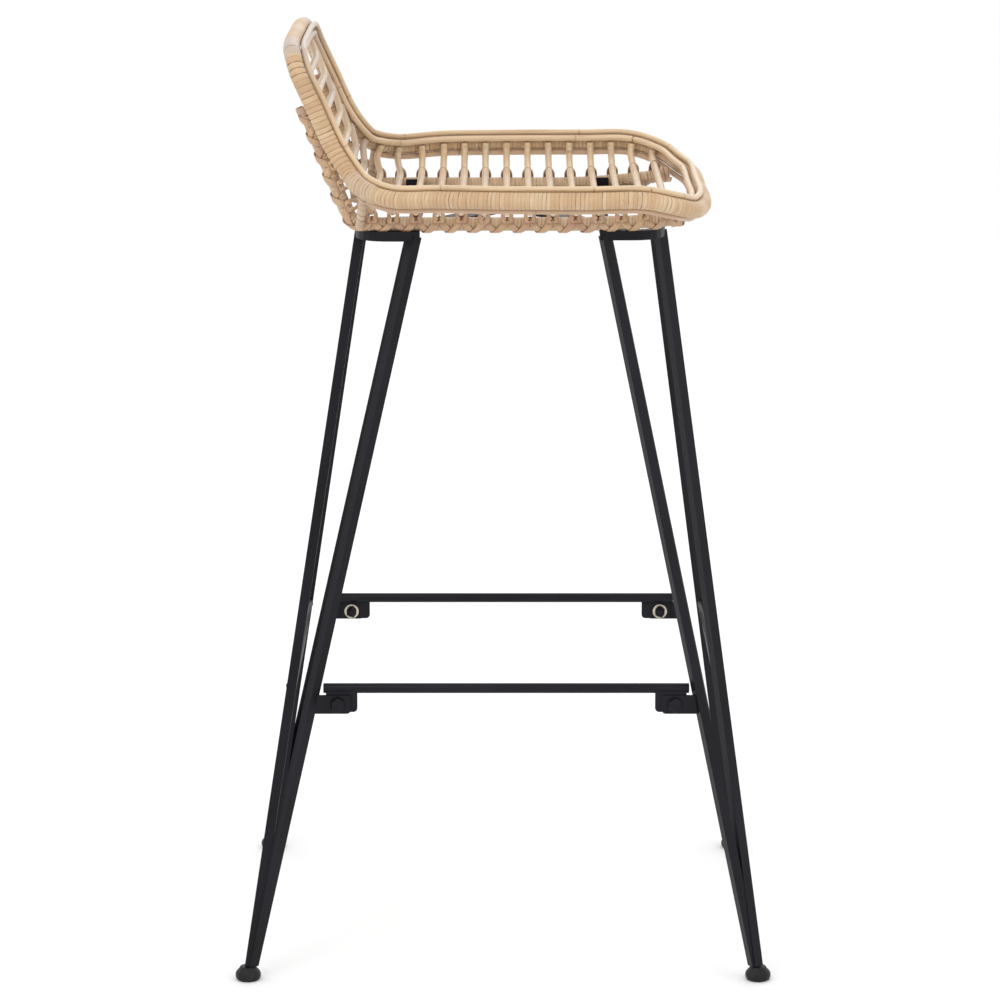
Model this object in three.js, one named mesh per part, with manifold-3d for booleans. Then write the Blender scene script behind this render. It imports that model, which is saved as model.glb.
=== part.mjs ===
// Bar stool with footrest: a cane tub seat on four hairpin legs of square steel bar.
// Millimetres, +X is the front of the stool, +Y the sitter's left, +Z up, floor at Z = 0.
import * as THREE from 'three';
import { mergeVertices } from 'three/addons/utils/BufferGeometryUtils.js';
import Module from 'manifold-3d';

const wasm = await Module();
wasm.setup();

// ---------- driving dimensions ----------
const GAP = 0.3;                    // clearance left where two pieces touch

// steel frame
const FOOT_SPREAD_X = 490;          // glide centre to glide centre, front to back
const FOOT_SPREAD_Y = 426;          // and side to side
const GLIDE_DIAMETER = 24.5;
const GLIDE_HEIGHT = 13;
const BAR = 9.2;                    // side of the square leg bar
const SIDE_HOOP_Y = 145;            // where the hoop runs along the side of the seat
const END_HOOP_Y = 112;             // where it ends after turning the corner
const FRONT_HOOP = { inner: 95.5, outer: 149, ear: 100, top: 716.2 };   // places along X, top face
const REAR_HOOP = { inner: -83, outer: -136, ear: -91, top: 715 };
const FOOT_PINCH = 1;               // half the distance between the two rods at the foot
const FOOT_LEAN = 2.5;              // rods reach the glide slightly inside its centre
const HOOP_BEND = 28;               // length of side run taken up by the bend round the corner
// how far each rod's outer face turns toward the stool's front
const ROD_TWIST = { front: { inner: 0.47, outer: 0.62 }, rear: { inner: 0.84, outer: 0 } };

// footrest
const REST_BAR_Z = 281;             // centre of the side footrest bars
const REST_BAR_DIAMETER = 9.6;
const REST_BAR_LENGTH = 349;
const CROSSBAR_Z = 279;             // centre of the front and rear crossbars
const BOLT_Z = 266.4;
const BOLT_SPAN_X = 322;            // bolt to bolt along one side
const BOLT_SHIFT_X = 3;
const LEG_TAB_TIP = 12.5;           // free end of a leg tab, past its bolt
const REST_TAB = { root: 11, tip: 19 };   // ends of a footrest tab, either side of its bolt
const TAB_THICKNESS = 3;
const TAB_HEIGHT = 18;
const BOLT_DIAMETER = 6;
const BOLT_HEAD = { across: 12.5, height: 4.5 };
const WASHER = { diameter: 15, thickness: 1.2 };
const NUT = { across: 10, height: 5 };
const HOLE_CLEARANCE = 0.35;        // added to a shank's radius for its hole

// fixings between the frame and the seat
const EAR = { width: 13, thickness: 3, rise: 12 };   // upright lug inside each side pole
const LEDGE = { length: 34, depth: 22, thickness: 3 };   // carries the end of a strap
const SCREW_DIAMETER = 3.6;
const SCREW_HEAD = { diameter: 7.5, height: 2.4 };
const SCREW_LENGTH = 12;
const STRAP_WIDTH = 24;             // flat steel straps crossing under the seat
const STRAP_THICKNESS = 3;

// cane seat
const RIM_DIAMETER = 16;            // wrapped pole all round the seat and back
const TOP_ROD_DIAMETER = 5.6;
const INNER_ROD_DIAMETER = 6.2;
const LOWER_ROD_DIAMETER = 5.6;
const POLE_DIAMETER = 13;           // wrapped poles under the sides of the seat and up the back
const POLE_SPREAD = { half: 141, splay: 11, splayLength: 130, taper: 0.09 };
const POLE_START = -14.5;            // distance of their front ends ahead of the first rib
const POLE_END = 395.5;              // and of their top ends, behind the rim
const TOP_ROD = { toward: 4.4, upward: 10.6 };        // rods beside the rim pole's centre line
const INNER_ROD = { toward: 11.4, upward: 5.2 };
const LOWER_ROD = { toward: 5.2, upward: -10 };
const RIB_DIAMETER = 7;
const RIB_PITCH = { seat: 21.4, back: 20.3 };
const SEAT_RIBS = 12;               // ribs after the first that stand at the seat's pitch
const RIB_COUNT = 21;
const FIRST_RIB_X = 153.5;
const SEAT_Z = 732;                 // centre of the ribs on the flat of the seat
const BACK_LEAN = THREE.MathUtils.degToRad(22);
const CORNER_RADIUS = 12;           // where the seat turns up into the back
const BACK_FOOT_X = -135.5;         // where flat and back would meet
const CREST_Z = 884;
const WALL_Z = 754;                 // centre of the rim along the sides
const FRONT_RIM = { x: 190, z: 736 };
const FRONT_RISE = { from: 50, height: 6 };   // the flat of the seat curls up a little at its front
const FAN_START_X = -75;            // ribs behind this place fan round the corner
const LAST_RIB_SHARE = 0.863;        // share of the half rim's length where the last rib ends
const RIB_TOP = 0.8;                // rib ends, above the rim pole's centre
const SPINDLE_LENGTH = 17;          // upright run of a rib beside the rim
const POST = { diameter: 8, foot: 0.73, head: 0.565 };   // places along side pole and half rim

const v = (x, y, z) => new THREE.Vector3(x, y, z);

// ---------- solids ----------
function toSolid(geometry) {
  const plain = geometry.index ? geometry.toNonIndexed() : geometry.clone();
  plain.deleteAttribute('normal');
  plain.deleteAttribute('uv');
  const merged = mergeVertices(plain, 1e-4);
  return new wasm.Manifold(new wasm.Mesh({
    numProp: 3,
    vertProperties: new Float32Array(merged.attributes.position.array),
    triVerts: new Uint32Array(merged.index.array),
  }));
}

function toGeometry(solid) {
  const mesh = solid.getMesh();
  const geometry = new THREE.BufferGeometry();
  geometry.setAttribute('position', new THREE.BufferAttribute(mesh.vertProperties, 3));
  geometry.setIndex(new THREE.BufferAttribute(mesh.triVerts, 1));
  geometry.computeVertexNormals();
  return geometry;
}

const join = (geometries) => toGeometry(geometries.map(toSolid).reduce((a, b) => a.add(b)));

const cut = (body, tools) => toGeometry(tools.map(toSolid).reduce((a, b) => a.subtract(b), toSolid(body)));

// a regular outline with a corner on the right, or with a flat there when turned half a side
function polygon(diameter, sides, turn = 0) {
  const points = Array.from({ length: sides }, (_, i) => {
    const angle = (2 * Math.PI * (i + turn)) / sides;
    return new THREE.Vector2((diameter / 2) * Math.cos(angle), (diameter / 2) * Math.sin(angle));
  });
  return new THREE.Shape(points);
}

const sweep = (outline, path, steps) =>
  new THREE.ExtrudeGeometry(outline, { steps, extrudePath: path, bevelEnabled: false });

const square = () => polygon(BAR * Math.SQRT2, 4, 0.5);

// a straight square bar; one face looks along `facing`
function squareBar(start, end, facing) {
  const along = end.clone().sub(start);
  const bar = new THREE.BoxGeometry(BAR, BAR, along.length());
  const zAxis = along.clone().normalize();
  const xAxis = new THREE.Vector3().crossVectors(facing, zAxis).normalize();
  const yAxis = new THREE.Vector3().crossVectors(zAxis, xAxis);
  bar.applyMatrix4(new THREE.Matrix4().makeBasis(xAxis, yAxis, zAxis));
  return bar.translate(...start.clone().add(end).multiplyScalar(0.5).toArray());
}

const cylinder = (diameter, height, sides = 16) =>
  new THREE.CylinderGeometry(diameter / 2, diameter / 2, height, sides).rotateX(Math.PI / 2);

const hexagon = (across, height) =>
  new THREE.CylinderGeometry(across / Math.sqrt(3), across / Math.sqrt(3), height, 6).rotateX(Math.PI / 2);

// ---------- materials ----------
const paint = (color, roughness, metalness) => new THREE.MeshStandardMaterial({ color, roughness, metalness });
const blackSteel = paint(0x24262a, 0.55, 0.6);
const blackGlide = paint(0x1d1e20, 0.45, 0.0);
const zinc = paint(0xb9b4a4, 0.35, 1.0);
const wrappedCane = paint(0xc99f68, 0.6, 0.0);
const peeledCane = paint(0xd7b27e, 0.5, 0.0);

const stool = new THREE.Group();

function add(name, geometry, material, parent = stool) {
  const mesh = new THREE.Mesh(geometry, material);
  mesh.name = name;
  parent.add(mesh);
  return mesh;
}

const SIDES = [['right', -1], ['left', 1]];
const ENDS = [['front', 1, FRONT_HOOP], ['rear', -1, REAR_HOOP]];

// ---------- lines that the seat is laid out on ----------
const backDirection = v(-Math.sin(BACK_LEAN), 0, Math.cos(BACK_LEAN));
const cornerTurn = Math.PI / 2 - BACK_LEAN;
const cornerSetback = CORNER_RADIUS * Math.tan(cornerTurn / 2);
const flatEnd = BACK_FOOT_X + cornerSetback;
const flatLength = FIRST_RIB_X - flatEnd;
const arcLength = CORNER_RADIUS * cornerTurn;

// side view of the rib centres, from the first rib back along the seat and up the back
function floorAt(distance) {
  if (distance < flatLength) {
    const x = FIRST_RIB_X - distance;
    const share = Math.max(0, x - FRONT_RISE.from) / (FIRST_RIB_X - FRONT_RISE.from);
    return { point: v(x, 0, SEAT_Z + FRONT_RISE.height * share ** 2), along: v(-1, 0, 0) };
  }
  if (distance < flatLength + arcLength) {
    const angle = (distance - flatLength) / CORNER_RADIUS;
    return {
      point: v(flatEnd - CORNER_RADIUS * Math.sin(angle), 0, SEAT_Z + CORNER_RADIUS * (1 - Math.cos(angle))),
      along: v(-Math.cos(angle), 0, Math.sin(angle)),
    };
  }
  const climb = cornerSetback + distance - flatLength - arcLength;
  const point = v(BACK_FOOT_X, 0, SEAT_Z).addScaledVector(backDirection, climb);
  return { point, along: backDirection.clone() };
}

// half width of the seat at the wrapped side poles: splayed at the front, drawn in up the back
function poleHalfWidth(distance) {
  const ahead = Math.max(0, 1 - distance / POLE_SPREAD.splayLength);
  const up = Math.max(0, distance - flatLength);
  return POLE_SPREAD.half + POLE_SPREAD.splay * ahead * ahead - POLE_SPREAD.taper * up;
}

// centre line of the left side pole, under and behind the ribs
const poleOffset = POLE_DIAMETER / 2 + RIB_DIAMETER / 2 + GAP + 0.4;

class PoleLine extends THREE.Curve {
  getPoint(t, target = new THREE.Vector3()) {
    const distance = POLE_START + t * (POLE_END - POLE_START);
    const { point, along } = floorAt(distance);
    const outward = v(-along.z, 0, along.x);
    return target.copy(point).addScaledVector(outward, poleOffset).setY(poleHalfWidth(distance));
  }
}

// half of the rim on the sitter's left, from the middle of the front to the middle of the crest
const rimHalf = [
  v(FRONT_RIM.x, 0, FRONT_RIM.z),
  v(FRONT_RIM.x - 1, 112, FRONT_RIM.z),
  v(179, 165, FRONT_RIM.z + 2),
  v(161, 202, FRONT_RIM.z + 10),
  v(130, 218, WALL_Z),
  v(80, 221.5, WALL_Z),
  v(0, 219.5, WALL_Z),
  v(-60, 212, WALL_Z),
  v(-105, 197, WALL_Z - 1.5),
  v(-134, 171, WALL_Z + 7),
  v(-147.5, 152, WALL_Z + 21),
  v(-161, 146, WALL_Z + 42),
  v(-176, 146, WALL_Z + 75.5),
  v(-191.5, 144, WALL_Z + 109.5),
  v(-197, 131, CREST_Z - 4),
  v(-199, 105, CREST_Z),
  v(-200, 0, CREST_Z + 1),
];
const mirrored = (p) => v(p.x, -p.y, p.z);
const rimCurve = new THREE.CatmullRomCurve3([
  ...rimHalf.slice(1, 3).reverse().map(mirrored),
  ...rimHalf,
  ...rimHalf.slice(-3, -1).reverse().map(mirrored),
], false, 'centripetal');

// the middle line that the rim bends around: its cross-section always faces it
const spine = [v(112, 0, 750), v(-112, 0, 750), v(-172, 0, 835)];

function nearestOnSpine(point) {
  const feet = [[spine[0], spine[1]], [spine[1], spine[2]]].map(([a, b]) =>
    new THREE.Line3(a, b).closestPointToPoint(point, true, new THREE.Vector3()));
  return feet.reduce((a, b) => (a.distanceTo(point) < b.distanceTo(point) ? a : b));
}

// a line beside the half rim, moved toward the sitter and up the wall
class BesideRim extends THREE.Curve {
  constructor(toward, upward) {
    super();
    Object.assign(this, { toward, upward, arcLengthDivisions: 400 });
  }

  getPoint(t, target = new THREE.Vector3()) {
    const u = (2 + t * (rimHalf.length - 1)) / (rimHalf.length + 3);
    const tangent = rimCurve.getTangent(u);
    rimCurve.getPoint(u, target);
    const inward = nearestOnSpine(target).sub(target);
    inward.addScaledVector(tangent, -inward.dot(tangent)).normalize();
    const wall = new THREE.Vector3().crossVectors(tangent, inward);
    return target.addScaledVector(inward, this.toward).addScaledVector(wall, this.upward);
  }
}

// part of the whole loop; one turn runs from the middle of the front round the left side and back
class RimLine extends THREE.Curve {
  constructor({ toward, upward }, from, to) {
    super();
    Object.assign(this, { half: new BesideRim(toward, upward), from, to });
  }

  getPoint(t, target = new THREE.Vector3()) {
    const turn = (this.from + t * (this.to - this.from) + 1) % 1;
    this.half.getPoint(turn < 0.5 ? turn * 2 : (1 - turn) * 2, target);
    if (turn >= 0.5) target.y *= -1;
    return target;
  }
}

// ---------- legs ----------
// the two rods of a leg: `inner` runs up to the side of the seat, `outer` round the corner
function rodsOf(end, side, hoop) {
  const footX = end * (FOOT_SPREAD_X / 2 - FOOT_LEAN);
  const footY = side * FOOT_SPREAD_Y / 2;
  const topZ = hoop.top - BAR / 2;
  const footZ = GLIDE_HEIGHT + GAP;
  return {
    inner: [v(hoop.inner, side * SIDE_HOOP_Y, topZ), v(footX - end * FOOT_PINCH, footY, footZ)],
    outer: [v(hoop.outer, side * END_HOOP_Y, topZ), v(footX + end * FOOT_PINCH, footY, footZ)],
  };
}

const alongRod = ([top, foot], z) => top.clone().lerp(foot, (top.z - z) / (top.z - foot.z));

const boltX = (end) => BOLT_SHIFT_X + (end * BOLT_SPAN_X) / 2;

// outer face of the leg tabs, measured from the middle of the stool
const tabY = alongRod(rodsOf(1, 1, FRONT_HOOP).inner, BOLT_Z).y + 1.2;

// a flat tab in a plane of constant Y: bolt hole, and the free lower corner rounded
function tab(end, side, { root, tip, bottom, top, outerY }) {
  const radius = 4;
  const rounding = new THREE.QuadraticBezierCurve(
    new THREE.Vector2(tip, bottom + radius), new THREE.Vector2(tip, bottom),
    new THREE.Vector2(tip + end * radius, bottom));
  const corners = [[root, bottom], [root, top], [tip, top]].map(([x, z]) => new THREE.Vector2(x, z));
  corners.push(...rounding.getPoints(4));
  if (end < 0) corners.reverse();
  const outline = new THREE.Shape(corners);
  const hole = new THREE.Path();
  hole.absarc(boltX(end), BOLT_Z, BOLT_DIAMETER / 2 + HOLE_CLEARANCE, 0, 2 * Math.PI, true);
  outline.holes.push(hole);
  const plate = new THREE.ExtrudeGeometry(outline, {
    depth: TAB_THICKNESS, bevelEnabled: false, curveSegments: 6,
  });
  plate.rotateX(Math.PI / 2);
  return plate.translate(0, side > 0 ? outerY : TAB_THICKNESS - outerY, 0);
}

// middle of a side pole's inner face above a hoop, where the ear stands
function earPlace(side, hoop) {
  const distance = FIRST_RIB_X - hoop.ear;
  const innerY = poleHalfWidth(distance) - POLE_DIAMETER / 2 - GAP;
  const screwZ = floorAt(distance).point.z - poleOffset;
  return { x: hoop.ear, y: side * (innerY - EAR.thickness / 2), screwZ };
}

const crossBore = (diameter, length) => new THREE.CylinderGeometry(diameter / 2, diameter / 2, length, 10);

function hoopFittings(end, side, hoop) {
  const ear = earPlace(side, hoop);
  const earBottom = hoop.top - LEDGE.thickness;
  const earHeight = EAR.rise + LEDGE.thickness;
  const upright = new THREE.BoxGeometry(EAR.width, EAR.thickness, earHeight)
    .translate(ear.x, ear.y, earBottom + earHeight / 2);
  const ledgeY = side * (SIDE_HOOP_Y - BAR / 2 + 1 - LEDGE.depth / 2);
  const ledge = new THREE.BoxGeometry(LEDGE.length, LEDGE.depth, LEDGE.thickness)
    .translate(hoop.inner + end * LEDGE.length * 0.4, ledgeY, hoop.top - LEDGE.thickness / 2);
  return [upright, ledge];
}

for (const [endName, end, hoop] of ENDS) {
  for (const [sideName, side] of SIDES) {
    const rods = rodsOf(end, side, hoop);
    const corner = v(hoop.outer - end * 2, side * SIDE_HOOP_Y, rods.inner[0].z);
    const turnStart = v(hoop.outer - end * HOOP_BEND, corner.y, corner.z);
    const hoopPath = new THREE.CurvePath();
    hoopPath.add(new THREE.LineCurve3(rods.inner[0].clone().add(v(-end * BAR / 2, 0, 0)), turnStart));
    hoopPath.add(new THREE.QuadraticBezierCurve3(turnStart, corner, rods.outer[0].clone()));
    const leg = join([
      sweep(square(), hoopPath, 12),
      squareBar(rods.inner[0], rods.inner[1], v(ROD_TWIST[endName].inner, side, 0)),
      squareBar(rods.outer[0], rods.outer[1], v(ROD_TWIST[endName].outer, side, 0)),
      tab(end, side, {
        root: alongRod(rods.inner, BOLT_Z).x + end,
        tip: boltX(end) - end * LEG_TAB_TIP,
        bottom: BOLT_Z - TAB_HEIGHT / 2,
        top: BOLT_Z + TAB_HEIGHT / 2,
        outerY: tabY,
      }),
      ...hoopFittings(end, side, hoop),
    ]);
    const foot = rods.inner[1];
    const belowFoot = new THREE.BoxGeometry(60, 60, 20).translate(foot.x, foot.y, foot.z - 10);
    const ear = earPlace(side, hoop);
    const bore = crossBore(SCREW_DIAMETER + 2 * HOLE_CLEARANCE, 3 * EAR.thickness)
      .translate(ear.x, ear.y, ear.screwZ);
    add(`leg_${endName}_${sideName}`, cut(leg, [belowFoot, bore]), blackSteel);

    const r = GLIDE_DIAMETER / 2;
    const domed = new THREE.LatheGeometry([
      new THREE.Vector2(0, 0), new THREE.Vector2(r - 3, 0), new THREE.Vector2(r - 0.6, 2.2),
      new THREE.Vector2(r, 5), new THREE.Vector2(r - 1.4, 8.2), new THREE.Vector2(r - 4.6, 11.2),
      new THREE.Vector2(8, GLIDE_HEIGHT), new THREE.Vector2(0, GLIDE_HEIGHT),
    ], 18).rotateX(Math.PI / 2);
    add(`glide_${endName}_${sideName}`, domed, blackGlide)
      .position.set(end * FOOT_SPREAD_X / 2, side * FOOT_SPREAD_Y / 2, 0);
  }
}

// ---------- footrest ----------
for (const [sideName, side] of SIDES) {
  const outerY = tabY - TAB_THICKNESS - GAP;
  const half = REST_BAR_LENGTH / 2;
  const barY = outerY - REST_BAR_DIAMETER / 2 + 1;
  const bar = sweep(polygon(REST_BAR_DIAMETER, 10), new THREE.LineCurve3(
    v(BOLT_SHIFT_X - half, side * barY, REST_BAR_Z), v(BOLT_SHIFT_X + half, side * barY, REST_BAR_Z)), 1);
  const tabs = ENDS.map(([, end]) => tab(end, side, {
    root: boltX(end) + end * REST_TAB.root,
    tip: boltX(end) - end * REST_TAB.tip,
    bottom: BOLT_Z - TAB_HEIGHT / 2 + 1,
    top: REST_BAR_Z - 2,
    outerY,
  }));
  add(`footrest_bar_${sideName}`, join([bar, ...tabs]), blackSteel);
}

for (const [endName, end, hoop] of ENDS) {
  const rod = rodsOf(end, 1, hoop).outer;
  const half = alongRod(rod, CROSSBAR_Z + REST_BAR_DIAMETER / 2).y - BAR * Math.SQRT1_2 - 2 * GAP;
  const bar = sweep(polygon(REST_BAR_DIAMETER, 10), new THREE.LineCurve3(v(0, -half, 0), v(0, half, 0)), 1);
  add(`${endName}_crossbar`, bar, blackSteel).position.set(alongRod(rod, CROSSBAR_Z).x, 0, CROSSBAR_Z);
}

// bolt from outside through leg tab and footrest tab, washer and nut inside
for (const [endName, end] of ENDS) {
  for (const [sideName, side] of SIDES) {
    const fastener = new THREE.Group();
    fastener.position.set(boltX(end), side * tabY, BOLT_Z);
    fastener.rotation.x = side > 0 ? -Math.PI / 2 : Math.PI / 2;
    stool.add(fastener);
    const stack = 2 * TAB_THICKNESS + GAP;
    const shankLength = stack + WASHER.thickness + NUT.height + 3 * GAP + 2;
    const bore = () => cylinder(BOLT_DIAMETER + 2 * HOLE_CLEARANCE, 20, 12).translate(0, 0, -stack - 4);
    const washerZ = -stack - GAP - WASHER.thickness / 2;
    const nutZ = washerZ - WASHER.thickness / 2 - GAP - NUT.height / 2;
    const bolt = join([
      hexagon(BOLT_HEAD.across, BOLT_HEAD.height).translate(0, 0, GAP + BOLT_HEAD.height / 2),
      cylinder(BOLT_DIAMETER, shankLength, 12).translate(0, 0, GAP + 0.5 - shankLength / 2),
    ]);
    const washer = cylinder(WASHER.diameter, WASHER.thickness, 18).translate(0, 0, washerZ);
    const nut = hexagon(NUT.across, NUT.height).translate(0, 0, nutZ);
    add(`footrest_bolt_${endName}_${sideName}`, bolt, blackSteel, fastener);
    add(`footrest_washer_${endName}_${sideName}`, cut(washer, [bore()]), zinc, fastener);
    add(`footrest_nut_${endName}_${sideName}`, cut(nut, [bore()]), blackSteel, fastener);
  }
}

// ---------- fixings under the seat ----------
// two flat straps welded across each other, their ends lying on the ledges of the hoops
function strap(side) {
  const reachY = SIDE_HOOP_Y - BAR / 2 - LEDGE.depth / 2 + 2;
  const from = v(FRONT_HOOP.inner + 6, side * reachY, FRONT_HOOP.top);
  const to = v(REAR_HOOP.inner - 6, -side * reachY, REAR_HOOP.top);
  const along = to.clone().sub(from);
  const flat = new THREE.BoxGeometry(along.length(), STRAP_WIDTH, STRAP_THICKNESS);
  flat.rotateY(-Math.atan2(along.z, Math.hypot(along.x, along.y)));
  flat.rotateZ(Math.atan2(along.y, along.x));
  return flat.translate((from.x + to.x) / 2, 0, (from.z + to.z) / 2 + STRAP_THICKNESS / 2 + GAP + 0.1);
}

const strapReach = earPlace(1, REAR_HOOP).y - EAR.thickness / 2 - SCREW_HEAD.height - 3 * GAP;
const besideEars = SIDES.map(([, side]) => new THREE.BoxGeometry(400, 60, 40)
  .translate(0, side * (strapReach + 30), FRONT_HOOP.top));
add('seat_cross_strap', cut(join([strap(1), strap(-1)]), besideEars), blackSteel);

for (const [endName, end, hoop] of ENDS) {
  for (const [sideName, side] of SIDES) {
    const ear = earPlace(side, hoop);
    const head = crossBore(SCREW_HEAD.diameter, SCREW_HEAD.height).translate(0, -SCREW_HEAD.height / 2, 0);
    const shank = crossBore(SCREW_DIAMETER, SCREW_LENGTH + 0.5).translate(0, (SCREW_LENGTH - 0.5) / 2, 0);
    const screw = add(`seat_screw_${endName}_${sideName}`, join([head, shank]), blackSteel);
    screw.position.set(ear.x, ear.y - side * (EAR.thickness / 2 + GAP), ear.screwZ);
    if (side < 0) screw.rotation.z = Math.PI;
  }
}

// ---------- rim ----------
const rimRadius = RIM_DIAMETER / 2;
const BUTT = 0.00018;               // half the hair-wide opening at a butt joint, in turns
const CORNER_TURN = 0.266;          // where the lower rod stops, at the corner posts

const loop = (place, seam) => new RimLine(place, seam + BUTT, seam + 1 - BUTT);

add('rim_pole', sweep(polygon(RIM_DIAMETER, 8, 0.5), loop({ toward: 0, upward: 0 }, 0.9), 96), wrappedCane);
add('rim_top_rod', sweep(polygon(TOP_ROD_DIAMETER, 6), loop(TOP_ROD, 0.88), 84), peeledCane);
add('rim_inner_rod', sweep(polygon(INNER_ROD_DIAMETER, 6), loop(INNER_ROD, 0.12), 84), peeledCane);
const frontRun = new RimLine(LOWER_ROD, -CORNER_TURN, CORNER_TURN);
add('rim_lower_rod', sweep(polygon(LOWER_ROD_DIAMETER, 6), frontRun, 60), peeledCane);

// ---------- ribs ----------
const spindleLine = new BesideRim(rimRadius + RIB_DIAMETER / 2 + GAP, RIB_TOP);

// share of the spindle line's length at which it passes a place along X
function shareAtX(x) {
  let [low, high] = [0.1, 0.62];
  for (let i = 0; i < 30; i += 1) {
    const middle = (low + high) / 2;
    if (spindleLine.getPointAt(middle).x > x) low = middle;
    else high = middle;
  }
  return low;
}

// along the seat the ribs stand square to it; round the corner and up the back they fan out evenly
const ribDistance = (i) =>
  Math.min(i, SEAT_RIBS) * RIB_PITCH.seat + Math.max(0, i - SEAT_RIBS) * RIB_PITCH.back;
const lastRib = ribDistance(RIB_COUNT - 1);
const fanStart = FIRST_RIB_X - FAN_START_X;
const fanShare = shareAtX(FAN_START_X);

function shareOfRib(distance) {
  if (distance < fanStart) return shareAtX(FIRST_RIB_X - distance);
  return fanShare + ((distance - fanStart) / (lastRib - fanStart)) * (LAST_RIB_SHARE - fanShare);
}

// a rib is one cane bent in five straight runs: spindle, slope, floor, slope, spindle
function ribCorners(distance) {
  const { point: floor, along } = floorAt(distance);
  const t = spindleLine.getUtoTmapping(shareOfRib(distance));
  const top = spindleLine.getPoint(t);
  const rise = top.clone().sub(floor).dot(v(along.z, 0, -along.x));
  const bendAt = RIB_TOP - THREE.MathUtils.clamp(0.55 * rise, 0.5, SPINDLE_LENGTH);
  const bend = new BesideRim(spindleLine.toward, bendAt).getPoint(t);
  const knee = v(floor.x, Math.min(poleHalfWidth(distance), bend.y - 12), floor.z);
  return { top, bend, knee };
}

function ribLine(distance) {
  const { top, bend, knee } = ribCorners(distance);
  const bendTop = bend.clone().lerp(top, 0.5);
  const bendFoot = bend.clone().lerp(knee, 0.4);
  const kneeOut = knee.clone().lerp(bend, 0.35);
  const kneeIn = v(knee.x, knee.y - 22, knee.z);
  const half = [top];
  half.push(...new THREE.QuadraticBezierCurve3(bendTop, bend, bendFoot).getPoints(3));
  half.push(...new THREE.QuadraticBezierCurve3(kneeOut, knee, kneeIn).getPoints(3));
  const line = new THREE.CurvePath();
  const points = [...half, ...half.map(mirrored).reverse()];
  for (let i = 1; i < points.length; i += 1) line.add(new THREE.LineCurve3(points[i - 1], points[i]));
  return line;
}

for (let i = 0; i < RIB_COUNT; i += 1) {
  const rib = sweep(polygon(RIB_DIAMETER, 6), ribLine(ribDistance(i)), 26);
  add(`rib_${String(i + 1).padStart(2, '0')}`, rib, peeledCane);
}

// ---------- side poles and corner posts ----------
for (const [sideName, side] of SIDES) {
  const mirror = new THREE.Matrix4().makeScale(1, side, 1);
  const leftPole = sweep(polygon(POLE_DIAMETER, 8, 0.5), new PoleLine(), 44);
  const pilots = ENDS.map(([, end, hoop]) => {
    const ear = earPlace(1, hoop);
    return crossBore(SCREW_DIAMETER + 2 * HOLE_CLEARANCE, SCREW_LENGTH + 1)
      .translate(ear.x, ear.y + SCREW_LENGTH / 2 - 1, ear.screwZ);
  });
  add(`side_pole_${sideName}`, faceOutward(cut(leftPole, pilots).applyMatrix4(mirror), side), wrappedCane);

  const foot = new PoleLine().getPoint(POST.foot);
  foot.add(v(0, POLE_DIAMETER / 2 + POST.diameter / 2 + GAP, -2));
  const rimPoint = new BesideRim(0, 0).getPoint(POST.head);
  const upward = rimPoint.clone().sub(foot).normalize();
  const head = rimPoint.addScaledVector(upward, -rimRadius - POST.diameter / 2);
  const post = sweep(polygon(POST.diameter, 8), new THREE.LineCurve3(foot, head), 1);
  add(`corner_post_${sideName}`, faceOutward(post.applyMatrix4(mirror), side), wrappedCane);
}

// a mirrored mesh has its faces turned inward: this turns them back
function faceOutward(geometry, side) {
  if (side > 0) return geometry;
  const solid = geometry.index ? geometry : mergeVertices(geometry);
  const order = solid.index.array;
  for (let i = 0; i < order.length; i += 3) [order[i], order[i + 1]] = [order[i + 1], order[i]];
  return solid;
}

export default stool;
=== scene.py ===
"""Bar stool with footrest: the cane seat, the steel frame and the studio around them."""
import math

import bpy
import numpy as np
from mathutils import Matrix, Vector


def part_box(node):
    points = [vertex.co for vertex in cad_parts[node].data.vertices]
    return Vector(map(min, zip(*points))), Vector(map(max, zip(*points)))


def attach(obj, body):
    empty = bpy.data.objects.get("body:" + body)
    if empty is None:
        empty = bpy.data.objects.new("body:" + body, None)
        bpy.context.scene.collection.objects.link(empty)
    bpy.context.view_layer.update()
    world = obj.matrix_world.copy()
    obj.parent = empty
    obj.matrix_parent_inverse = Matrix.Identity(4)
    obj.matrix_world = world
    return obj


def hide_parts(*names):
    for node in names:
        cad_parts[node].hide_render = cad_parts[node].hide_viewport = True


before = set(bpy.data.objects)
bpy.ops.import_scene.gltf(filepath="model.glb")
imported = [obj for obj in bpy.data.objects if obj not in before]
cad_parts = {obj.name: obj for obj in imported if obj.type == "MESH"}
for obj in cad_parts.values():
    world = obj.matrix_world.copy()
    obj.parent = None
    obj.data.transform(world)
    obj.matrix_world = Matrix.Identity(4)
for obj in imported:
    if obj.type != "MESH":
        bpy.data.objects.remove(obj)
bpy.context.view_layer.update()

bl_info = {
    "name": "Cane bar stool",
    "version": (1, 0, 0),
    "blender": (4, 5, 0),
    "location": "View3D > Sidebar > Cane stool",
    "description": "Builds the wound cane seat, the steel frame and the studio of a bar stool",
    "category": "Object",
}

MM = 0.001
SIDES = (("right", -1), ("left", 1))
ENDS = (("front", 1), ("rear", -1))
CORNERS = [(end, e, side, s) for end, e in ENDS for side, s in SIDES]


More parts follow.
